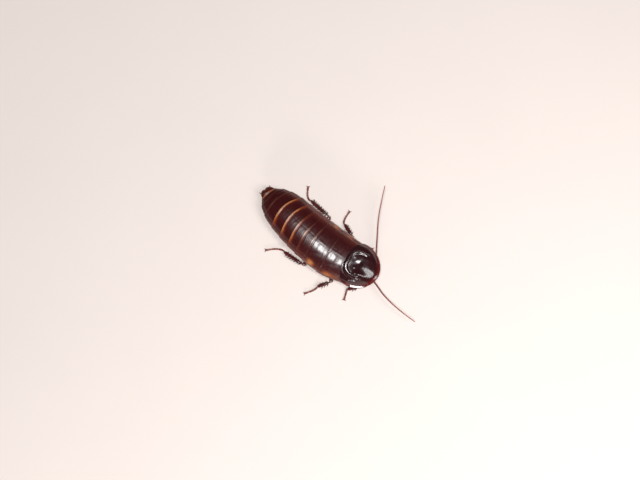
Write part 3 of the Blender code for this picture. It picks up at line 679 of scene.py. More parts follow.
def pronotum_material():
    """Thick tanned chitin: black and highly polished, red-brown where the thin brim lets light in."""
    material, tree, shader = new_material("pronotum_chitin", roughness=0.22, ior=1.5, specular_ior_level=0.3,
                                          coat_weight=0.55, coat_roughness=0.18)
    brim = add_node(tree, "Attribute", {"attribute_name": "brim"}, output="Fac")
    ragged = add_node(tree, "Math", {"operation": "MULTIPLY_ADD", 1: 0.12}, {0: grain(tree, 1.4), 2: brim})
    colour = add_node(tree, "ValToRGB", {"stops": [(0.0, "#250508"), (0.84, "#2f0709"), (0.94, "#460e0d"),
                                                   (1.0, "#611a12")]}, {"Fac": ragged})
    worn(tree, shader, 1.2, 0.14, 0.32)
    dress(tree, shader, flecked(tree, colour, 0.6, 0.7, (1.3, 1.2, 1.25)),
          (grain(tree, 2.2, 1.5), 0.4, 0.00012), (grain(tree, 0.35), 0.25, 0.000015))
    return material


def limb_material(name, dark, light, coat, grain_mm):
    """Leg and feeler chitin: the colour runs from dark to light along the piece, a little mottled."""
    material, tree, shader = new_material(name, roughness=0.34, ior=1.55, specular_ior_level=0.35,
                                          coat_weight=coat, coat_roughness=0.17)
    along = add_node(tree, "Attribute", {"attribute_name": "along"}, output="Fac")
    wander = add_node(tree, "Math", {"operation": "MULTIPLY_ADD", 1: 0.5, 2: -0.25}, {0: grain(tree, 0.9)})
    share = add_node(tree, "Math", {"operation": "ADD", "use_clamp": True}, {0: along, 1: wander})
    colour = add_node(tree, "MixRGB", {"Color1": dark, "Color2": light}, {"Fac": share})
    dress(tree, shader, flecked(tree, colour, grain_mm * 1.6, 0.7, (1.2, 1.15, 1.15), 0.3),
          (grain(tree, grain_mm), 0.4, 0.00004))
    return material


def membrane_material(name, dark, light):
    """Soft joint skin: matt, pale and finely folded between the hard plates."""
    material, tree, shader = new_material(name, roughness=0.58, ior=1.45)
    colour = add_node(tree, "MixRGB", {"Color1": dark, "Color2": light}, {"Fac": grain(tree, 0.8)})
    dress(tree, shader, colour, (grain(tree, 0.35, stretch=(0.5, 2.0, 1.0)), 0.6, 0.0001))
    return material


def eye_material():
    """Compound eye: glossy black with a fine net of facets, drawn coarser than the real 0.03 mm."""
    material, tree, shader = new_material("eye_facets", roughness=0.2, ior=1.5, coat_weight=0.8,
                                          coat_roughness=0.06)
    cells = add_node(tree, "TexVoronoi", {"Scale": 1.0 / (EYE_FACET * MM)},
                     {"Vector": add_node(tree, "TexCoord", output="Object")})
    colour = add_node(tree, "ValToRGB", {"stops": [(0.1, "#1c1012"), (0.7, "#070505")]}, {"Fac": cells})
    domes = add_node(tree, "Math", {"operation": "SUBTRACT", 0: 1.0}, {1: cells})
    dress(tree, shader, colour, (domes, 0.5, 0.00003))
    return material


def head_material():
    """Polished head capsule: black above, red-brown toward the mouth, pale eye spots and clypeus."""
    material, tree, shader = new_material("head_chitin", roughness=0.24, ior=1.56, coat_weight=0.6,
                                          coat_roughness=0.1)
    pale, red = (add_node(tree, "Attribute", {"attribute_name": layer}, output="Fac")
                 for layer in ("pale", "red"))
    colour = add_node(tree, "MixRGB", {"Color1": "#150b0a", "Color2": "#3f1710"}, {"Fac": red})
    share = add_node(tree, "ValToRGB", {"stops": [(0.25, 0), (0.6, 1)]}, {"Fac": pale})
    colour = add_node(tree, "MixRGB", {"Color2": "#9a6238"}, {"Fac": share, "Color1": colour})
    dress(tree, shader, flecked(tree, colour, 0.4, 0.75, (1.2, 1.15, 1.15)),
          (grain(tree, 0.9, 2.0), 0.35, 0.0001), (grain(tree, 0.2), 0.3, 0.00003))
    return material


def floor_material():
    """Matt painted board: pale, with a faint unevenness."""
    pale = bpy.context.scene.stage_settings.floor_colour
    material, tree, shader = new_material("floor_board", roughness=0.7)
    dim = tuple(0.96 * channel for channel in pale)
    dress(tree, shader, add_node(tree, "MixRGB", {"Color1": pale, "Color2": dim}, {"Fac": grain(tree, 60.0)}))
    return material


def build_pronotum():
    """The black shield over the head, from rings of a circle drawn inward, then vaulted."""
    piece = add_mesh("pronotum_shield", "circle", vertices=144, radius=1.0, fill_type="NOTHING")
    edit_all()
    shares = [1.0, 0.985, 0.97, 0.955, *np.linspace(0.935, 0.04, 40)]
    for outer, inner in zip(shares, shares[1:]):
        bpy.ops.mesh.extrude_region_move()
        step = inner / outer
        bpy.ops.transform.resize(value=(step, step, 1.0), center_override=(0.0, 0.0, 0.0))
    bpy.ops.mesh.fill()
    bpy.ops.mesh.poke()
    bpy.ops.object.mode_set(mode="OBJECT")
    x, y, _ = coords(piece).T
    s, lat = pronotum_outline(np.arctan2(x, -y), np.hypot(x, y))
    reshape(piece, place(s, lat, pronotum_shell(s, lat) + pronotum_relief(s, lat)))
    mark(piece, brim=pronotum_reach(s, lat) - 0.12 * ramp(s, PRONOTUM_MIDDLE, PRONOTUM_MIDDLE + 5))
    outward(piece)
    face_up(piece)
    thicken(piece, PRONOTUM_WALL, 0.16, 3, 55, use_even_offset=False)
    settle(piece, pronotum_material(), "chitin_black", "pronotum")


def face_up(piece):
    """Turn the faces of an open sheet so that most of them look up."""
    normals = np.empty(len(piece.data.polygons) * 3)
    piece.data.polygons.foreach_get("normal", normals)
    if normals.reshape(-1, 3)[:, 2].sum() < 0:
        piece.data.flip_normals()


def pronotum_outline(turn, share):
    """Stations and offsets at a share of the way from the pronotum's middle to its edge."""
    ahead = np.cos(turn)
    power = np.where(ahead > 0, 2 / FRONT_POWER, REAR_POWER)
    reach = np.where(ahead > 0, PRONOTUM_FRONT_REACH, PRONOTUM_REAR_REACH)
    side = share * PRONOTUM_HALF_WIDTH * signed_power(np.sin(turn), power)
    return PRONOTUM_MIDDLE - share * reach * signed_power(ahead, power), side


def pronotum_ahead(s):
    """How far ahead of the pronotum's middle stations are: 1 at its front."""
    return np.maximum(0, PRONOTUM_MIDDLE - s) / PRONOTUM_FRONT_REACH


def pronotum_reach(s, lat):
    """How far out toward the pronotum's edge points are: 0 in the middle, 1 at the edge."""
    ahead = pronotum_ahead(s)
    aside = np.abs(lat) / (PRONOTUM_HALF_WIDTH + 0.25)
    return np.minimum(1, (ahead ** FRONT_POWER + aside ** FRONT_POWER) ** (1 / FRONT_POWER))


def pronotum_shell(s, lat):
    """Height of the pronotum's plain vault, whose foot turns out into a flat brim on the right."""
    ahead = pronotum_ahead(s)
    edge = PRONOTUM_EDGE + PRONOTUM_FRONT_LIFT * ahead ** 2
    reach = pronotum_reach(s, lat)
    flat = right_brim(s, lat) * ramp(reach, 0.7, 0.9)
    vault = np.clip(1 - (reach + 0.1 * flat) ** 2.2, 0, 1) ** VAULT_POWER
    margin = BRIM_RISE * np.clip(1 - ahead ** FRONT_POWER, 0, 1) ** VAULT_POWER
    vault += flat * ((vault ** 8 + margin ** 8) ** 0.125 - vault)
    return edge + (PRONOTUM_TOP - edge) * vault


def right_brim(s, lat):
    """How flat the brim lies: most beside the head on the right."""
    return ramp(-lat, 4, 6) * ramp(s, 2.8, 4.3) * ramp(s, 11, 9.5)


def pronotum_relief(s, lat):
    """Height of the two humps, the hollow disc, the ridge round it, its bosses and the brim."""
    relief = np.where(lat > 0, LEFT_HUMP, RIGHT_HUMP) * bell(s - 7.4, 2.1) * bell(np.abs(lat) - 4.3, 1.7)
    at_s, at_lat, long, wide = DISC
    relief -= DISC_DEPTH * np.exp(-np.abs((s - at_s) / long) ** 3 - np.abs((lat - at_lat) / wide) ** 3)
    at_s, at_lat, long, wide = RIDGE
    ring = (np.maximum(0, s - at_s) / long) ** RIDGE_POWER + (np.abs(lat - at_lat) / wide) ** RIDGE_POWER
    out = wide * (ring ** (1 / RIDGE_POWER) - 1)
    fade = ramp(s, 6.8, 8.4)
    relief += (0.4 + 0.5 * out * ramp(lat, 0, 4.5)) * np.exp(-(out / RIDGE_HALF_WIDTH) ** 4) * fade
    relief -= 0.16 * bell(out - 1.15, 0.4) * fade
    along, aside = s - FACET[0], lat - FACET[1]
    relief += (0.15 * aside + 0.11 * along) * bell(along, 1.4) * bell(aside, 1.5)
    for at_s, at_lat, size, height in BOSSES:
        relief += height * bell(s - at_s, size) * bell(lat - at_lat, size)
    relief -= 0.13 * bell(lat + 1.7, 1.6) * ramp(s, 1.6, 3.1) * ramp(s, 9.2, 7.2)
    reach, flat = pronotum_reach(s, lat), right_brim(s, lat)
    relief += (0.28 * bell(1 - reach, 0.05) - 0.18 * bell(0.885 - reach, 0.05)) * (1 - flat)
    return relief + flat * ramp(reach, 0.86, 0.9) * (0.075 * (s - 6.8) - 1.9 * (reach - 0.915))


def build_back_plate(index):
    """One plate of the back: a vaulted shell whose front runs in under the plate before it."""
    name = BACK_PLATES[index]
    piece, v, f = add_plate(name, 110, 34)
    start = plate_edge(index - 1, v) - PLATE_TUCK
    rear = plate_edge(index, v)
    s = start + (rear - start) * f
    behind = rear - s
    lat, z = back_point(s, v, PLATE_SINK * (1 - f) ** 0.9)
    reshape(piece, place(s, lat, z + plate_relief(name, s, v, lat, behind, f)))
    rust, rim, reach, right_end, left_end, pale = PLATE_LOOKS[name]
    left, out = v >= 0, np.abs(v)
    side = ramp(out - np.where(left, 0.5, 0.62), 0, 0.42) ** 1.4
    band = rust * np.where(left, 0.7, 1.0) * (0.5 + 0.5 * bell(out - 0.66, 0.22))
    band *= ramp(out, 1.0, 0.8, 0.15) * ramp(v, left_end + 0.45, left_end + 0.1, 0.25)
    ends = ramp(v, -right_end, 0.25 - right_end) * ramp(v, left_end, left_end - 0.35)
    # Painted highlight: a pale patch just right of the middle of the rim, where the key light's glint falls;
    # it also draws the rim there
    pale = pale * bell(v + 0.17, 0.2)
    mark(piece, rear_mm=behind, band=band, rim=np.maximum(rim * ends, pale * 0.8), pale=pale,
         side=side * np.where(left, smooth(LEFT_BROWN, s), smooth(RIGHT_BROWN, s)))
    notum = name in SIDE_SPOTS
    if notum:
        spot = sum(strength * bell(s - at_s, long) * bell((v - at_v) * smooth(HALF_WIDTH, s), wide)
                   for at_s, at_v, long, wide, strength in SIDE_SPOTS[name])
        mark(piece, spot=spot * ramp(out, 0.99, 0.96, 0.15))
    thicken(piece, bpy.context.scene.body_sizes.wall / MM, 0.09)
    settle(piece, shell_material(f"{name}_chitin", reach, notum), "chitin_black", name)


def plate_relief(name, s, v, lat, behind, f):
    """Creases, side groove and rear lip of a back plate."""
    centre = dome(v)
    relief = 0.10 * bell(behind - 0.35, 0.4) - 0.08 * bell(behind - 1.15, 0.35)
    relief -= 0.16 * bell(np.abs(v) - 0.86, 0.045)
    if name in NOTUM_SWELLS:
        relief -= 0.07 * bell(np.abs(lat) - 3.4 - 4.0 * f, 0.8) * ramp(3 * f, 0.6, 1.6)
        relief += 0.006 * np.sin(behind * 3.4 + 1.3 * np.sin(lat * 0.75 + 0.5 * behind)) * centre
        relief += 0.06 * bell(lat, 0.5) * bell(f - 0.55, 0.3)
        relief += NOTUM_SWELLS[name] * np.sin(SWELL_PITCH * (s - SWELL_START)) * centre
        for at_s, at_lat, slope, tilt in NOTUM_DENTS:
            along, aside = s - at_s, lat - at_lat
            relief += (slope * along + tilt * aside) * bell(along, DENT_LENGTH) * bell(aside, DENT_WIDTH)
    else:
        relief += 0.008 * np.sin(behind * 5.1 + 1.9 * np.sin(lat * 0.7 + behind)) * centre
        relief -= 0.05 * bell(lat, 0.3)
    return relief * np.minimum(3 * centre, 1)


def build_tail_plate():
    """The notched plate that ends the back over the vent."""
    piece, v, f = add_plate("supra_anal", 48, 22)
    s = TAIL_FRONT + 2.8 * f + 0.3 * np.abs(v) - 0.15 * bell(v, 0.22) * f ** 6
    z = TAIL_EDGE + (straight(TAIL_TOP, f) - TAIL_EDGE) * dome(v) - 0.12 * bell(v, 0.16) * f
    reshape(piece, place(s, straight(TAIL_HALF_WIDTH, f) * v, z))
    mark(piece, rear_mm=(1 - f) * 2.4, side=0.25, band=0.15, rim=0.05)
    thicken(piece, TAIL_WALL, 0.08)
    settle(piece, shell_material("tail_chitin", 1.6, False), "chitin_brown", "supra_anal_plate")


def build_cercus(side):
    """One of the two short tapering feelers at the tail, in eight rings."""
    beads = [(ring * CERCUS_RING, CERCUS_RING, 0.44 - 0.036 * ring) for ring in range(8)]
    swells = ((0.08, 0.8), (0.35, 1.0), (0.75, 1.0), (0.97, 0.8))
    profile = [(0.0, 0.3, 0.28), *beaded(beads, swells, 0.92), (CERCUS_LENGTH, 0.08, 0.08)]
    piece = grow_rod(f"cercus_{side}_rings", profile, 16, straight_rows(*on_side(CERCUS_WAY, side), 9))
    settle(piece, limb_material(f"cercus_{side}_chitin", "#4a2114", "#8a5030", 0.3, 0.2), "chitin_amber",
           f"cercus_{side}", angle=70)


def add_tube(name, first, length, rings, sides):
    """A closed tube along the body: its stations, and how far to the left and up each vertex looks."""
    piece = extrude_limb(name, [(z, 1.0, 1.0) for z in np.linspace(0.0, length, rings)], sides)
    x, y, z = coords(piece).T
    turn = np.arctan2(y, x)
    return piece, first + z, np.cos(turn), np.sin(turn)


def build_joint_skin():
    """The soft body inside the plates, which shows in the gaps between them."""
    piece, s, aside, up = add_tube("joint_skin", 14.6, 50.0, 60, 72)
    half = np.maximum(smooth(HALF_WIDTH, s) - 1.5, 1.2) + 0.05 * np.sin(s * 9.0)
    edge = smooth(EDGE_HEIGHT, s)
    belly = np.where(s < 33, 5.3, np.minimum(5.3, smooth(BELLY_HEIGHT, s) + 0.75))
    z = edge + (smooth(BACK_HEIGHT, s) - 1.25 - edge) * np.clip(up, 0, 1) ** BACK_ROUNDNESS
    z -= np.maximum(edge - belly, 0.1) * np.clip(-up, 0, 1) ** BELLY_ROUNDNESS
    reshape(piece, place(s, half * aside, z))
    outward(piece)
    settle(piece, membrane_material("joint_skin_soft", "#5c3a2c", "#9a705a"), "chitin_amber")


def build_neck():
    """The narrow neck and the body under the pronotum."""
    piece, s, aside, up = add_tube("prosternum_body", 7.2, 7.1, 30, 48)
    low, high = straight(NECK_LOW, s), straight(NECK_HIGH, s)
    lat = straight(NECK_HALF_WIDTH, s) * signed_power(aside, 0.75)
    z = (low + high) / 2 + (high - low) / 2 * signed_power(up, 0.75)
    reshape(piece, place(s, lat, np.maximum(np.minimum(z, pronotum_shell(s, lat) - 1.3), low)))
    outward(piece)
    settle(piece, membrane_material("neck_skin", "#4e2c22", "#8e6a52"), "chitin_brown", "prosternum")


def build_breast_plate(name):
    """The soft underside of one thorax segment, with the hollows that hold the coxae."""
    front, rear = BREAST_PLATES[name]
    piece, across, f = add_sheet(f"{name}_plate", 48, 28)
    s, v = front + (rear - front) * f, -across
    z = 4.92 + np.abs(v) ** 8 + 0.45 * (2 * np.abs(f - 0.5)) ** 6
    z += 0.25 * bell(np.abs(v) - 0.55, 0.22) * bell(f - 0.5, 0.4) - 0.02 * bell(v, 0.1)
    reshape(piece, place(s, np.minimum(8.0, 0.7 * smooth(HALF_WIDTH, s)) * v, z))
    apply_modifier(piece, "SOLIDIFY", thickness=BREAST_WALL * MM, offset=-1.0)
    settle(piece, membrane_material(f"{name}_skin", "#4a2a20", "#86604a"), "chitin_brown", name)


def build_belly_plate(index):
    """One belly plate, from side edge to side edge under the back."""
    name = f"sternite_{index + 2}"
    piece, across, f = add_plate(name, 72, 24)
    v = -across
    bow = -0.6 * v * v
    start = STERNITE_REARS[index - 1] - 1.0 + bow if index else STERNITE_FRONT
    rear = STERNITE_REARS[index] + bow + 0.1
    s = start + (rear - start) * f
    half = smooth(HALF_WIDTH, s) - 0.5 - 0.25 * (1 - f)
    top = smooth(EDGE_HEIGHT, s) - 0.45
    if index == len(STERNITE_REARS) - 1:
        top = np.where(s > PLATE_REARS[-1] - 0.6, 3.5, top)
    low = smooth(BELLY_HEIGHT, s) + 0.45 * (1 - f) ** 1.2
    behind = rear - s
    relief = 0.07 * bell(behind - 0.4, 0.4) - 0.06 * bell(behind - 1.2, 0.4)
    relief += 0.025 * np.sin(behind * 6 + np.sin(half * v))
    z = top - (top - low) * dome(v) ** BELLY_ROUNDNESS - relief * np.minimum(2 * dome(v), 1)
    reshape(piece, place(s, half * v, z))
    mark(piece, rear_mm=behind, side=ramp(np.abs(v), 0.6, 1.0), band=0.9, rim=0.5)
    thicken(piece, BELLY_WALL, 0.07)
    settle(piece, shell_material(f"{name}_chitin", 2.6, False), "chitin_brown", name)


def build_head():
    """The pear-shaped head: forehead, antennal sockets, clypeus seam and cheeks."""
    piece, plain = add_ball("head_capsule", 112, 90)
    t = np.arccos(np.clip(plain[:, 2], -1, 1)) / math.pi
    turn = np.arctan2(plain[:, 0], -plain[:, 1])
    ahead = smooth(HEAD_HALF_DEPTHS, t) * np.cos(turn)
    s = CROWN[0] + (MOUTH[0] - CROWN[0]) * t - ahead
    lat = smooth(HEAD_HALF_WIDTHS, t) * np.sin(turn)
    z = CROWN[1] + 0.2 + (MOUTH[1] - CROWN[1] - 0.35) * t - 0.2 * ahead
    out = np.abs(lat)
    socket = np.hypot(out - SOCKET[0], z - SOCKET[1])
    aside, above = out - OCELLUS[0], z - OCELLUS[1]
    bulge = 0.16 * bell(socket - 0.62, 0.2) - 0.25 * bell(socket, 0.45)
    bulge += 0.14 * bell(lat, 1.4) * bell(z - 4.9, 0.8) + 0.1 * bell(aside, 0.4) * bell(above, 0.35)
    bulge -= 0.16 * bell(z - CLYPEUS_SEAM - 0.12 * out, 0.14)
    bulge -= 0.12 * bell(z - LIP_SEAM, 0.12) * bell(lat, 2.2) + 0.07 * bell(lat, 0.12) * ramp(z, 6.0, 7.5)
    facing = np.clip(np.cos(turn), 0, 1)
    reshape(piece, place(s - bulge * facing, lat, z))
    clypeus = ramp(z - 0.1 * out, 4.0, 3.75) * bell(lat, 2.4)
    mark(piece, pale=facing * np.maximum(bell(aside, 0.32) * bell(above, 0.28), 0.75 * clypeus),
         red=ramp(z, 4.6, 3.2))
    outward(piece)
    settle(piece, head_material(), "chitin_black", "head")


def build_mouth():
    """The upper lip and the two plain mandibles behind it."""
    lip, v, up = add_sheet("labrum", 20, 16)
    f = 1 - up
    half = 1.25 * np.sqrt(np.clip(1 - (f - 0.15) ** 2 * 0.75, 0, 1)) * (1 - 0.25 * f ** 4)
    s = 4.05 + 0.5 * f - 0.32 * (1 - v * v) - 0.06 * bell(f - 0.5, 0.3)
    reshape(lip, place(s, half * v, 3.1 - 1.05 * f + 0.12 * bell(v, 0.25) * f ** 3))
    mark(lip, along=f)
    apply_modifier(lip, "SOLIDIFY", thickness=LIP_WALL * MM, offset=1.0)
    outward(lip)
    settle(lip, limb_material("labrum_chitin", "#5a2a18", "#8a5232", 0.4, 0.15), "foot_brown")
    for side in SIDES:
        jaw = grow_rod(f"mandible_{side}", JAW, 14, trail(on_side(JAW_WAY, side), 12))
        outward(jaw)
        settle(jaw, limb_material(f"mandible_{side}_chitin", "#3a160f", "#120807", 0.6, 0.2), "chitin_black")


def build_eye(side):
    """A kidney-shaped compound eye that wraps the side of the head."""
    piece, plain = add_ball(f"eye_{side}_facets", 56, 40)
    ahead, up, out = plain.T
    s = 4.58 + 0.9 * ahead + 0.3 * bell(up + 0.25, 0.45) * np.clip(-ahead, 0, 1)
    lat = 3.32 + 1.08 * np.clip(out, -0.4, 1) - 0.25 * ahead ** 2
    reshape(piece, place(s, SIDES[side] * lat, 6.15 + 1.42 * up))
    outward(piece)
    settle(piece, eye_material(), "eye_dark", f"eye_{side}", angle=80)


def build_palp(side):
    """The five-jointed feeler beside the mouth."""
    swells = ((0.06, 0.62), (0.25, 0.86), (0.6, 1.0), (0.85, 0.98), (0.98, 0.72))
    profile = [(0.0, 0.18, 0.18), *beaded(PALP_JOINTS, swells), (PALP_LENGTH, 0.1, 0.1)]
    piece = grow_rod(f"palp_{side}_joints", profile, 18, trail(on_side(PALP_WAY, side), 24))
    outward(piece)
    settle(piece, limb_material(f"palp_{side}_chitin", "#5a2a1a", "#9a6440", 0.3, 0.18), "foot_brown",
           f"palp_{side}")


def build_antenna(name):
    """A long feeler of fine rings on its two basal joints."""
    rings = bpy.context.scene.body_sizes.rings
    rows = trail(ANTENNAE[name], 160)
    total = float(np.linalg.norm(np.diff(place(*rows.T), axis=0), axis=1).sum() / MM)
    step = (total - SCAPE_LENGTH) / rings
    radii = ANTENNA_RADIUS + (ANTENNA_TIP_RADIUS - ANTENNA_RADIUS) * np.linspace(0, 1, rings) ** 0.9
    beads = [(SCAPE_LENGTH + ring * step, step, radius) for ring, radius in enumerate(radii)]
    swells = ((0.05, 0.8), (0.3, 0.97), (0.72, 1.0), (0.96, 0.82))
    piece = grow_rod(f"{name}_rings", [*SCAPE, *beaded(beads, swells), (total, 0.08, 0.08)], 14, rows)
    outward(piece)
    settle(piece, limb_material(f"{name}_chitin", "#5c1f17", "#ac543f", 0.25, 0.22), "chitin_amber", name,
           angle=70)


def limb_profile(radii, length, count, trims):
    """Profile rows of a limb whose radii run smoothly between a few pairs, with rounded ends."""
    shares = np.linspace(0, 1, count)
    wide, tall = (smooth(list(zip(np.linspace(0, 1, len(radii)), row)), shares) for row in zip(*radii))
    swell = np.minimum(1, 0.45 + 4 * shares / trims[0]) * np.minimum(1, 0.45 + 4 * (1 - shares) / trims[1])
    return list(zip(shares * length, wide * swell, tall * swell))


def make_spine_template():
    """One curved spine of unit length along +Z with a socket ring at its root."""
    piece = extrude_limb("spine_template", [(z, radius, radius) for z, radius in SPINE], 8)
    plain = coords(piece)
    plain[:, 0] += 0.1 * np.clip(plain[:, 2], 0, 1) ** 2
    reshape(piece, plain)
    return piece


def plant(template, name, foot, direction, lean, size):
    """A copy of the template standing at a foot point, its curve turned toward lean."""
    copy = template.copy()
    copy.data = template.data.copy()
    copy.name = name
    bpy.context.collection.objects.link(copy)
    up = direction.normalized()
    across = (lean - up * up.dot(lean)).normalized()
    reshape(copy, np.array(foot) + (coords(copy) * size * MM) @ np.array([across, up.cross(across), up]))
    return copy


def tibia_spines(name, start, end, seed):
    """Copies of one spine, set in four rows along the tibia."""
    template = make_spine_template()
    draw = random.Random(seed)
    first, last = Vector(place(*start)), Vector(place(*end))
    along = (last - first).normalized()
    across = along.cross(UP).normalized()
    upright = across.cross(along)
    aside = Vector(place(start[0], math.copysign(99, start[1]), 0)) - Vector(place(start[0], 0, 0))
    outer = across if across.dot(aside) > 0 else -across
    length = (last - first).length / MM
    spine_length = bpy.context.scene.body_sizes.spine / MM
    spines = []
    for angle, spacing in SPINE_ROWS:
        for k in range(int((length - SPINE_ENDS[1]) / spacing)):
            share = (SPINE_ENDS[0] + k * spacing + draw.uniform(-0.12, 0.12)) / length
            turn = math.radians(angle + draw.uniform(-8, 8))
            out = outer * math.cos(turn) + upright * math.sin(turn)
            foot = Vector(place(*between(start, end, share, TIBIA_SAG))) + out * SPINE_FOOT * MM
            direction = (out + along * (0.75 + draw.uniform(-0.1, 0.1))).normalized()
            size = spine_length * (0.75 + 0.35 * share) * draw.uniform(0.9, 1.1)
            size *= 0.75 if math.cos(turn) < 0 else 1.0
            if foot.z + direction.z * size * MM < SPINE_FLOOR * MM:
                direction.z = 0.0
                direction.normalize()
            spines.append(plant(template, f"spine_{name}", foot, direction, along, size))
    bpy.data.objects.remove(template)
    return spines


def knee_clearance(hip, knee, ankle):
    """How far from the knee a tibia's spines start, clear of its femur's end."""
    angle = (Vector(hip) - Vector(knee)).angle(Vector(ankle) - Vector(knee))
    if angle > math.pi / 2:
        return 0.9
    return (0.8 + 0.52 * math.cos(angle) + 0.3) / math.sin(angle)


def build_tibia(name, hip, knee, ankle, material, seed):
    """The tibia with its rows of strong spines, which lean toward the foot."""
    start, end = shorten(knee, ankle, knee_clearance(hip, knee, ankle), 0.2)
    neck = math.dist(knee, start)
    shaft = limb_profile(TIBIA_RADII, math.dist(start, end), 26, (1.6, 0.6))
    profile = [(0.0, 0.3, 0.3), (neck * 0.5, 0.4, 0.4), *((neck + z, wide, tall) for z, wide, tall in shaft)]
    piece = extrude_limb(f"tibia_{name}_shaft", profile, 20)
    lay_on_rows(piece, [knee, between(knee, start, 0.5), *straight_rows(start, end, 30, TIBIA_SAG)])
    outward(piece)
    join(piece, tibia_spines(name, start, end, seed))
    reach = np.linalg.norm(coords(piece) - place(*start), axis=1)
    mark(piece, along=0.7 * reach / reach.max())
    settle(piece, material, "leg_maroon", f"tibia_{name}")


def build_coxa(name, root, hip, material):
    """The flat hip joint that lies under the breast, keeled along its outer side."""
    length = math.dist(root, hip)
    piece = extrude_limb(f"coxa_{name}_joint", limb_profile(COXA_RADII, length, 22, (1.2, 1.2)), 28)
    plain = coords(piece)
    plain[:, 1] += 0.12 * bell(plain[:, 0] - 1.2, 0.4) - 0.12 * bell(plain[:, 0] + 1.0, 0.5)
    reshape(piece, plain)
    mark(piece, along=0.4 * plain[:, 2] / length)
    lay_on_rows(piece, straight_rows(root, hip, 12))
    outward(piece)
    settle(piece, material, "leg_maroon", f"coxa_{name}")


def build_femur(name, hip, knee, material):
    """The femur with its small trochanter and the groove under it, into which the tibia folds."""
    start, end = shorten((*hip[:2], hip[2] - HIP_DROP), knee, 0.2, -0.4)
    length = math.dist(start, end)
    piece = extrude_limb(f"femur_{name}_joint", limb_profile(FEMUR_RADII, length, 30, (0.8, 0.5)), 26)
    plain = coords(piece)
    share = plain[:, 2] / length
    plain[:, 1] += 0.14 * bell(plain[:, 0], 0.35) * bell(share - 0.55, 0.4) * (plain[:, 1] < 0)
    plain[:, :2] *= 1 - 0.22 * bell(share - 0.12, 0.035)[:, None]
    reshape(piece, plain)
    mark(piece, along=0.5 * share)
    lay_on_rows(piece, straight_rows(start, end, 16, FEMUR_SAG))
    outward(piece)
    settle(piece, material, "leg_maroon", f"femur_{name}")


def foot_rows(start, end, bow):
    """Rows (s, lat, z) along a foot that bows to one side, most near its root."""
    share = np.linspace(0, 1, 32)[:, None]
    start, end = np.array(start), np.array(end)
    run, rise = (end - start)[:2]
    aside = np.array([rise, -run, 0.0]) / math.hypot(run, rise)
    rows = start + (end - start) * share + aside * bow * np.sin(math.pi * share ** 0.7)
    rows[:, 2] += 0.5 * bell(share[:, 0], 0.12)
    return rows


def build_foot(name, ankle, toe, material):
    """The foot: four short lobes and a long one, with two claws and the pad between them."""
    start, end = shorten(ankle, toe, -0.35, CLAW_REACH * 0.6)
    start, end = (*start[:2], ANKLE_HEIGHT), (*end[:2], TOE_HEIGHT)
    length = math.dist(start, end)
    wide, tall = FOOT_RADII
    lobes = [(first * length, (last - first) * length, wide)
             for first, last in zip(FOOT_JOINTS, FOOT_JOINTS[1:])]
    swells = ((0.04, 0.62), (0.2, 0.8), (0.5, 0.92), (0.8, 1.06), (0.93, 1.08), (0.985, 0.8))
    profile = [(0.0, 0.2, 0.2), *beaded(lobes, swells, tall / wide), (length + 0.06, 0.2, 0.2)]
    piece = extrude_limb(f"tarsus_{name}_lobes", profile, 18)
    mark(piece, along=0.4 + 0.5 * coords(piece)[:, 2] / length)
    rows = foot_rows(start, end, FOOT_BOWS[name])
    lay_on_rows(piece, rows)
    reshape(piece, np.maximum(coords(piece), (-math.inf, -math.inf, 0.0)))
    outward(piece)
    tip = Vector(place(*end))
    along = tip - Vector(place(*rows[CLAW_BASE_ROW]))
    along.z = 0.0
    along.normalize()
    aside = along.cross(UP)
    join(piece, [make_claw(name, tip, along, aside), make_claw(name, tip, along, -aside),
                 make_pad(name, tip, along, aside)])
    settle(piece, material, "foot_brown", f"tarsus_{name}")


def make_claw(name, tip, along, aside):
    """One curved claw, broad at its root and sharp at its point."""
    piece = extrude_limb(f"claw_{name}", CLAW, 10)
    mark(piece, along=0.1)
    way = [(*(tip + (along * ahead * CLAW_REACH + aside * out * CLAW_SPREAD) * MM).xy, height * MM)
           for ahead, out, height in CLAW_WAY]
    lay_along(piece, trail(way, 14))
    outward(piece)
    return piece


def make_pad(name, tip, along, aside):
    """The soft pad between the claws."""
    piece, plain = add_ball(f"pad_{name}", 16, 12)
    centre = tip + along * 0.25 * MM
    centre.z = PAD_HEIGHT * MM
    reshape(piece, np.array(centre) + (plain * PAD_RADII) @ np.array([along, aside, UP]) * MM)
    mark(piece, along=1.0)
    outward(piece)
    return piece


def build_leg(index, name, leg_material, foot_material, skin_material):
    """One leg, with the skin of the knee, where the femur's end lets the tibia turn; the skin's pale colour
    is partly the real joint skin and partly a painted highlight for the glint on each knee.
    """
    root, hip, knee, ankle, toe = LEGS[name]
    build_coxa(name, root, hip, leg_material)
    build_femur(name, hip, knee, leg_material)
    build_tibia(name, hip, knee, ankle, leg_material, SPINE_SEED + SEED_STEP * index)
    build_foot(name, ankle, toe, foot_material)
    skin, plain = add_ball(f"knee_skin_and_glint_{name}", 20, 14)
    reshape(skin, place(*knee) + (plain * KNEE_RADII + (0.0, 0.0, KNEE_LIFT)) * MM)
    outward(skin)
    settle(skin, skin_material, "chitin_amber", angle=80)


def add_light(kind, name, energy, location, toward, **settings):
    """A light at a location in millimetres, which shines against the direction toward."""
    deselect()
    bpy.ops.object.light_add(type=kind, location=[c * MM for c in location])
    lamp = bpy.context.active_object
    lamp.name = name
    lamp.data.energy = energy
    for key, value in settings.items():
        setattr(lamp.data, key, value)
    lamp.rotation_euler = Vector(toward).to_track_quat("Z", "Y").to_euler()


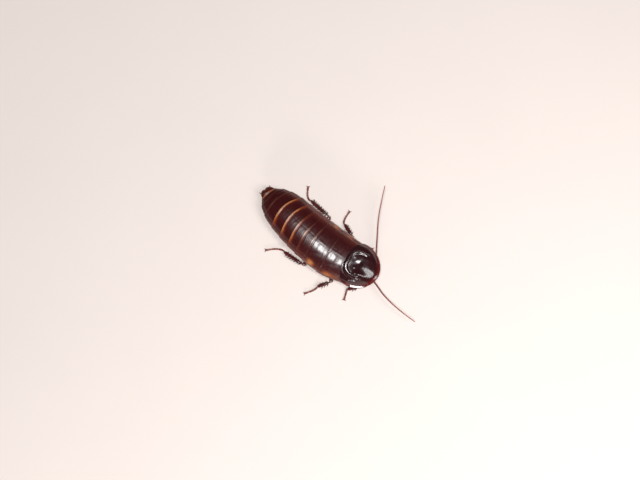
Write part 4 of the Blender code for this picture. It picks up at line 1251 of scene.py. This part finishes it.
def build_stage():
    """Pale floor, soft lights and the camera."""
    scene = bpy.context.scene
    settings = scene.stage_settings
    floor = add_mesh("floor", "grid", x_subdivisions=8, y_subdivisions=8, size=FLOOR_SIZE)
    floor.data.materials.append(floor_material())
    scene.world = bpy.data.worlds.new("studio")
    scene.world.use_nodes = True
    sky = scene.world.node_tree.nodes["Background"].inputs
    sky["Color"].default_value = linear_colour(WORLD_COLOUR)
    sky["Strength"].default_value = WORLD_STRENGTH
    scene.view_settings.view_transform = "Standard"
    add_light("SUN", "key_light", settings.key_power, (0.0, 0.0, 400.0), KEY_DIRECTION, angle=KEY_WIDTH)
    for name, share, (width, height), location in SOFT_LIGHTS:
        add_light("AREA", name, settings.fill_power * share, location, Vector(location) - Vector(LIGHT_AIM),
                  shape="ELLIPSE", size=width * MM, size_y=height * MM)
    build_camera()


def build_camera():
    """The camera at the photograph's angle, over the back."""
    toward = Vector((-math.tan(CAMERA_ROLL), -math.tan(CAMERA_PITCH), 1.0)).normalized()
    heading = Vector((0.0, -1.0, 0.0))
    heading = (heading - toward * toward.dot(heading)).normalized()
    left = toward.cross(heading)
    right = heading * math.cos(CAMERA_SPIN) + left * math.sin(CAMERA_SPIN)
    up = toward.cross(right)
    deselect()
    bpy.ops.object.camera_add()
    camera = bpy.context.active_object
    camera.name = "camera"
    camera.data.sensor_width = SENSOR_WIDTH
    camera.data.lens = LENS_PIXELS * SENSOR_WIDTH / PICTURE_WIDTH
    camera.data.clip_start = 0.001
    centre = (Vector(CAMERA_AIM) + toward * CAMERA_DISTANCE) * MM
    camera.matrix_world = Matrix.Translation(centre) @ Matrix((right, up, toward)).transposed().to_4x4()
    bpy.context.scene.camera = camera


class COCKROACH_OT_pronotum(bpy.types.Operator):
    """Build the black shield over the head"""

    bl_idname = "cockroach.pronotum"
    bl_label = "Pronotum"

    def execute(self, context):
        build_pronotum()
        return {"FINISHED"}


class COCKROACH_OT_back(bpy.types.Operator):
    """Build the two thorax plates and the seven abdomen plates of the back"""

    bl_idname = "cockroach.back"
    bl_label = "Back plates"

    def execute(self, context):
        for index in range(len(BACK_PLATES)):
            build_back_plate(index)
        return {"FINISHED"}


class COCKROACH_OT_tail(bpy.types.Operator):
    """Build the plate over the vent and the two cerci"""

    bl_idname = "cockroach.tail"
    bl_label = "Tail"

    def execute(self, context):
        build_tail_plate()
        for side in SIDES:
            build_cercus(side)
        return {"FINISHED"}


class COCKROACH_OT_underside(bpy.types.Operator):
    """Build the joint skin, the neck, the breast and the belly plates"""

    bl_idname = "cockroach.underside"
    bl_label = "Underside"

    def execute(self, context):
        build_joint_skin()
        build_neck()
        for name in BREAST_PLATES:
            build_breast_plate(name)
        for index in range(len(STERNITE_REARS)):
            build_belly_plate(index)
        return {"FINISHED"}


class COCKROACH_OT_head(bpy.types.Operator):
    """Build the head with its upper lip and mandibles"""

    bl_idname = "cockroach.head"
    bl_label = "Head and mouth"

    def execute(self, context):
        build_head()
        build_mouth()
        return {"FINISHED"}


class COCKROACH_OT_senses(bpy.types.Operator):
    """Build the eyes, the palps and the feelers"""

    bl_idname = "cockroach.senses"
    bl_label = "Eyes, palps and feelers"

    def execute(self, context):
        for side in SIDES:
            build_eye(side)
            build_palp(side)
            build_antenna(f"antenna_{side}")
        return {"FINISHED"}


class COCKROACH_OT_legs(bpy.types.Operator):
    """Build the six legs with their spines, feet and claws"""

    bl_idname = "cockroach.legs"
    bl_label = "Legs"

    def execute(self, context):
        leg = limb_material("leg_chitin", "#3d0a0c", "#5f1c19", 0.45, 0.3)
        foot = limb_material("foot_chitin", "#4a1614", "#8c4636", 0.2, 0.2)
        # Pale knee skin: partly the real joint skin's colour, partly a painted highlight standing in for the
        # glint on each knee
        skin = membrane_material("knee_skin_and_glint", "#6f4c40", "#c0a292")
        for index, name in enumerate(LEGS):
            build_leg(index, name, leg, foot, skin)
        return {"FINISHED"}


class COCKROACH_OT_stage(bpy.types.Operator):
    """Build the floor, the lights and the camera"""

    bl_idname = "cockroach.stage"
    bl_label = "Stage"

    def execute(self, context):
        build_stage()
        return {"FINISHED"}


class COCKROACH_PT_panel(bpy.types.Panel):
    """Every step of the model, in order"""

    bl_label = "Cockroach"
    bl_idname = "COCKROACH_PT_panel"
    bl_space_type = "VIEW_3D"
    bl_region_type = "UI"
    bl_category = "Cockroach"

    def draw(self, context):
        for operator in OPERATORS:
            self.layout.operator(operator.bl_idname)


OPERATORS = (COCKROACH_OT_pronotum, COCKROACH_OT_back, COCKROACH_OT_tail, COCKROACH_OT_underside,
             COCKROACH_OT_head, COCKROACH_OT_senses, COCKROACH_OT_legs, COCKROACH_OT_stage)
GROUPS = (ShellColours, BodySizes, StageSettings)


def register():
    for kind in GROUPS + OPERATORS + (COCKROACH_PT_panel,):
        bpy.utils.register_class(kind)
    bpy.types.Scene.shell_colours = PointerProperty(type=ShellColours)
    bpy.types.Scene.body_sizes = PointerProperty(type=BodySizes)
    bpy.types.Scene.stage_settings = PointerProperty(type=StageSettings)


def unregister():
    del bpy.types.Scene.stage_settings
    del bpy.types.Scene.body_sizes
    del bpy.types.Scene.shell_colours
    for kind in reversed(GROUPS + OPERATORS + (COCKROACH_PT_panel,)):
        bpy.utils.unregister_class(kind)


def main():
    register()
    bpy.ops.cockroach.pronotum()
    bpy.ops.cockroach.back()
    bpy.ops.cockroach.tail()
    bpy.ops.cockroach.underside()
    bpy.ops.cockroach.head()
    bpy.ops.cockroach.senses()
    bpy.ops.cockroach.legs()
    bpy.ops.cockroach.stage()


if __name__ == "__main__":
    main()
